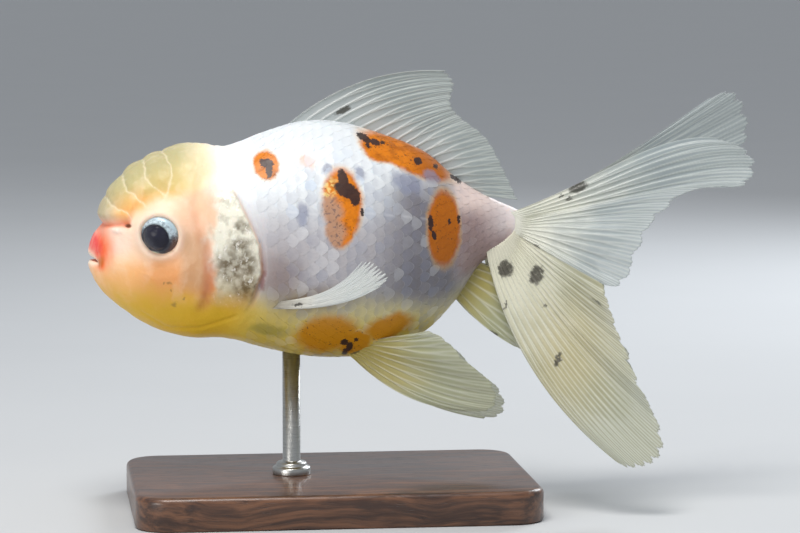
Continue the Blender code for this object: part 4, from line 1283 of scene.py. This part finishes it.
TAIL_PLEATS = 3
TAIL_PLEAT_DEPTH = 0.7
UPPER_SCALLOPS = 11
LOWER_SCALLOPS = -13          # below zero they are cut at the leading end
FORK_LIFT = -0.12             # of an upper lobe; the lower one moves the other way to overlap it
FORK_BEHIND = 0.45            # the margin of a lower lobe lies this much nearer to the middle
TAIL_RAYS = 17
TAIL_ROWS = 84
FORK_ROOT = (33.2, 1.7, 49.4)
UPPER_ROOT = ((31.6, 0.75, 52.6), (32.6, 1.1, 51.6), (33.4, 1.5, 50.6), FORK_ROOT)
LOWER_ROOT = (FORK_ROOT, (32.2, 1.9, 48.4), (30.4, 2, 47.2), (28, 2, 46.2))
LEFT_UPPER_TIPS = ((69.4, 8, 66.7), (73, 9, 65.4), (75.4, 9.8, 62.2), (73.8, 10.4, 58.7),
                   (68, 11, 57.4), (62, 11.2, 56.6), (58, 11.6, 53.6), (55.8, 12.2, 50.2),
                   (53.6, 12.8, 45.8), (51.4, 13, 41.8), (47.8, 12.8, 41))
LEFT_LOWER_TIPS = ((47.8, 12.8, 40.8), (49.2, 14.4, 36.2), (50.2, 15.6, 31), (53.2, 17.2, 25),
                   (55.8, 18.6, 18.8), (57.3, 19.8, 12.6), (55.6, 20.2, 9.2), (52.4, 20, 8.8),
                   (49.2, 19.4, 9.9))
RIGHT_UPPER_TIPS = ((71, 8, 73), (75, 9, 74.2), (78, 9.8, 71.4), (79, 10.2, 65.8),
                    (74.6, 10.8, 61.4), (68, 11.2, 60), (63.4, 11.8, 56.4), (60.4, 12.4, 52),
                    (57.4, 13, 47.4), (54.6, 13.2, 43.4), (51.2, 13, 42))
RIGHT_LOWER_TIPS = ((51.2, 13, 41.8), (52.6, 14.6, 37), (54.2, 16, 31), (57.4, 17.4, 24.8),
                    (59.2, 18.8, 18.8), (59.4, 19.8, 14.4), (57.8, 20.2, 11.8), (54.8, 20, 11.4),
                    (51.8, 19.4, 12.6))
LEFT_UPPER_BOW = ((-0.6, -1.6, 2), (0, -1.2, 1), (0, -0.8, 0.2), (0, -0.6, -0.2))
RIGHT_UPPER_BOW = ((0, -1.6, -1.8), (0, -1.2, -1.2), (0, -0.8, -0.4), (0, -0.6, -0.2))
LOWER_BOW = ((0, -0.6, -0.2), (-0.4, -0.6, -0.6), (-1.8, -0.4, -1.2), (-3.6, 0.2, -2.2))
TAIL_CREAM = tint(240, 240, 226)
TAIL_AMBER = tint(204, 188, 132)
UPPER_SPOTS = ((44.6, 57.5, 1.8, 0.85, -25), (43, 55.6, 0.7, 0.35, -20), (41.6, 56, 0.3, 0.3),
               (36.7, 46.8, 0.6, 0.5))
LOWER_SPOTS = ((31.3, 43, 1.4, 1.6), (36.7, 42, 1.2, 1.8, 20), (31, 36.8, 0.28, 0.9, 15),
               (38, 36.6, 0.3, 0.3), (39.8, 27.4, 0.5, 1.3, 25), (46.5, 37.8, 1.1, 0.16, 40))
upper_web = fin_finish("tail_upper_web", TAIL_CREAM, tint(164, 176, 182), 0.92, 0.55, UPPER_SPOTS)
lower_web = fin_finish("tail_lower_web", tint(238, 235, 214), tint(170, 170, 138), 0.92, 0.6,
                       LOWER_SPOTS, stain=(TAIL_AMBER, ((42, 28, 9, 15, 24),)))

LOBES = (("left_upper", LEFT_UPPER_TIPS, LEFT_UPPER_BOW, 2.2),
         ("left_lower", LEFT_LOWER_TIPS, LOWER_BOW, 1),
         ("right_upper", RIGHT_UPPER_TIPS, RIGHT_UPPER_BOW, 0.6),
         ("right_lower", RIGHT_LOWER_TIPS, LOWER_BOW, 1))
for name, tips, bow, lag in LOBES:
    side = -1 if name.startswith("left") else 1
    root, web, lift, inward, scallops = (
        (UPPER_ROOT, upper_web, FORK_LIFT, 0, UPPER_SCALLOPS) if name.endswith("upper")
        else (LOWER_ROOT, lower_web, -FORK_LIFT, FORK_BEHIND, LOWER_SCALLOPS))
    ray_fin("tail_lobe_" + name, "tail_" + name, flipped(root, side, (0, 0, lift)),
            flipped(tips, side, (0, -side * inward, lift)), flipped(bow, side), TAIL_RAYS,
            TAIL_ROWS, web, lag, TAIL_PLEATS, TAIL_PLEAT_DEPTH, crimp=0.08, scallops=scallops)


# ---------------------------------------------------------------- stand
# A plain plate of dark stained walnut with eased edges, and a brushed steel rod that is pushed
# up into the belly. A turned collar covers the hole in the plate.

EASE = 1.1                    # radius of the plate's upper edge
FOOT_EASE = 0.35              # slant of its lower edge
CORNER = 6
ARC_STEPS = 12
ROD_X = -7
ROD_PROFILE = ((3.4, 6), (3.45, 6.15), (3.45, 7.1), (3.3, 7.35), (2.95, 7.45), (2.8, 7.6),
               (2.75, 8), (2.5, 8.25), (1.75, 8.3), (1.6, 8.5), (1.6, 31))
ROD_TURNS = 72


def eased_plate(name, low, high, finish):
    """Plate with round corners and a quarter-round upper edge, between two box corners."""
    size = (np.array(high) - np.array(low)) / MM
    middle = (np.array(high) + np.array(low)) / 2 / MM
    arc = np.radians(np.linspace(0, 90, ARC_STEPS + 1))
    rings = [(FOOT_EASE, 0), (0, FOOT_EASE), (0, size[2] - EASE)]
    rings += [(EASE * (1 - math.cos(a)), size[2] - EASE * (1 - math.sin(a))) for a in arc[1::2]]
    vertices = []
    for inset, rise in rings:
        radius = CORNER - inset
        for quarter in range(4):
            spin = arc + math.radians(90 * quarter)
            sx, sy = ((1, 1), (-1, 1), (-1, -1), (1, -1))[quarter]
            corner_x = middle[0] + sx * (size[0] / 2 - CORNER) + radius * np.cos(spin)
            corner_y = middle[1] + sy * (size[1] / 2 - CORNER) + radius * np.sin(spin)
            vertices += [(px, py, low[2] / MM + rise) for px, py in zip(corner_x, corner_y)]
    count = 4 * (ARC_STEPS + 1)
    vertices = np.array(vertices + [(*middle[:2], low[2] / MM), (*middle[:2], high[2] / MM)])
    faces = outward(vertices, tube_faces(len(rings), count))
    return spread_mesh(name, vertices, faces, finish)


WALNUT_DARK = tint(58, 36, 26)
WALNUT_LIGHT = tint(116, 78, 54)
WALNUT_PORE = tint(34, 20, 14)


def walnut():
    finish = Finish("walnut")
    place = finish.place()
    warp = ragged(place, 0.05, 3)
    grain = warp.stretched(0.035, 0.9, 0.9).grain(1, 5, 0.6)
    pores = place.stretched(0.25, 5, 5).grain(1).rise(0.6, 0.72)
    colour = finish.coats(WALNUT_DARK, (WALNUT_LIGHT, grain.rise(0.35, 0.68)),
                          (WALNUT_PORE, pores * 0.6))
    finish.set(Base_Color=colour, Roughness=grain * 0.15 + 0.3, Coat_Weight=0.35,
               Coat_Roughness=0.2)
    finish.bump(grain * 0.6 - pores, 0.05)
    return finish


def brushed_steel():
    finish = Finish("brushed_steel")
    rings = finish.place().stretched(0.4, 0.4, 16).grain(1, 3)
    finish.set(Base_Color=finish.mix(tint(150, 151, 150), tint(206, 206, 202), rings),
               Metallic=1, Roughness=rings * 0.16 + 0.22)
    finish.bump(rings, 0.02)
    return finish


base = eased_plate("base", *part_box("stand_base"), walnut())
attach(base, "root")
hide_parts("stand_base")

spin = np.arange(ROD_TURNS) * 2 * math.pi / ROD_TURNS
profile_r, profile_z = np.array(ROD_PROFILE).T
rod_grid = np.stack([ROD_X + profile_r[:, None] * np.cos(spin),
                     profile_r[:, None] * np.sin(spin),
                     profile_z[:, None] * np.ones(ROD_TURNS)], axis=-1)
rod_points = capped(rod_grid)
rod = spread_mesh("rod", rod_points,
                  outward(rod_points, tube_faces(len(ROD_PROFILE), ROD_TURNS)), brushed_steel())
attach(rod, "root")
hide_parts("stand_rod")
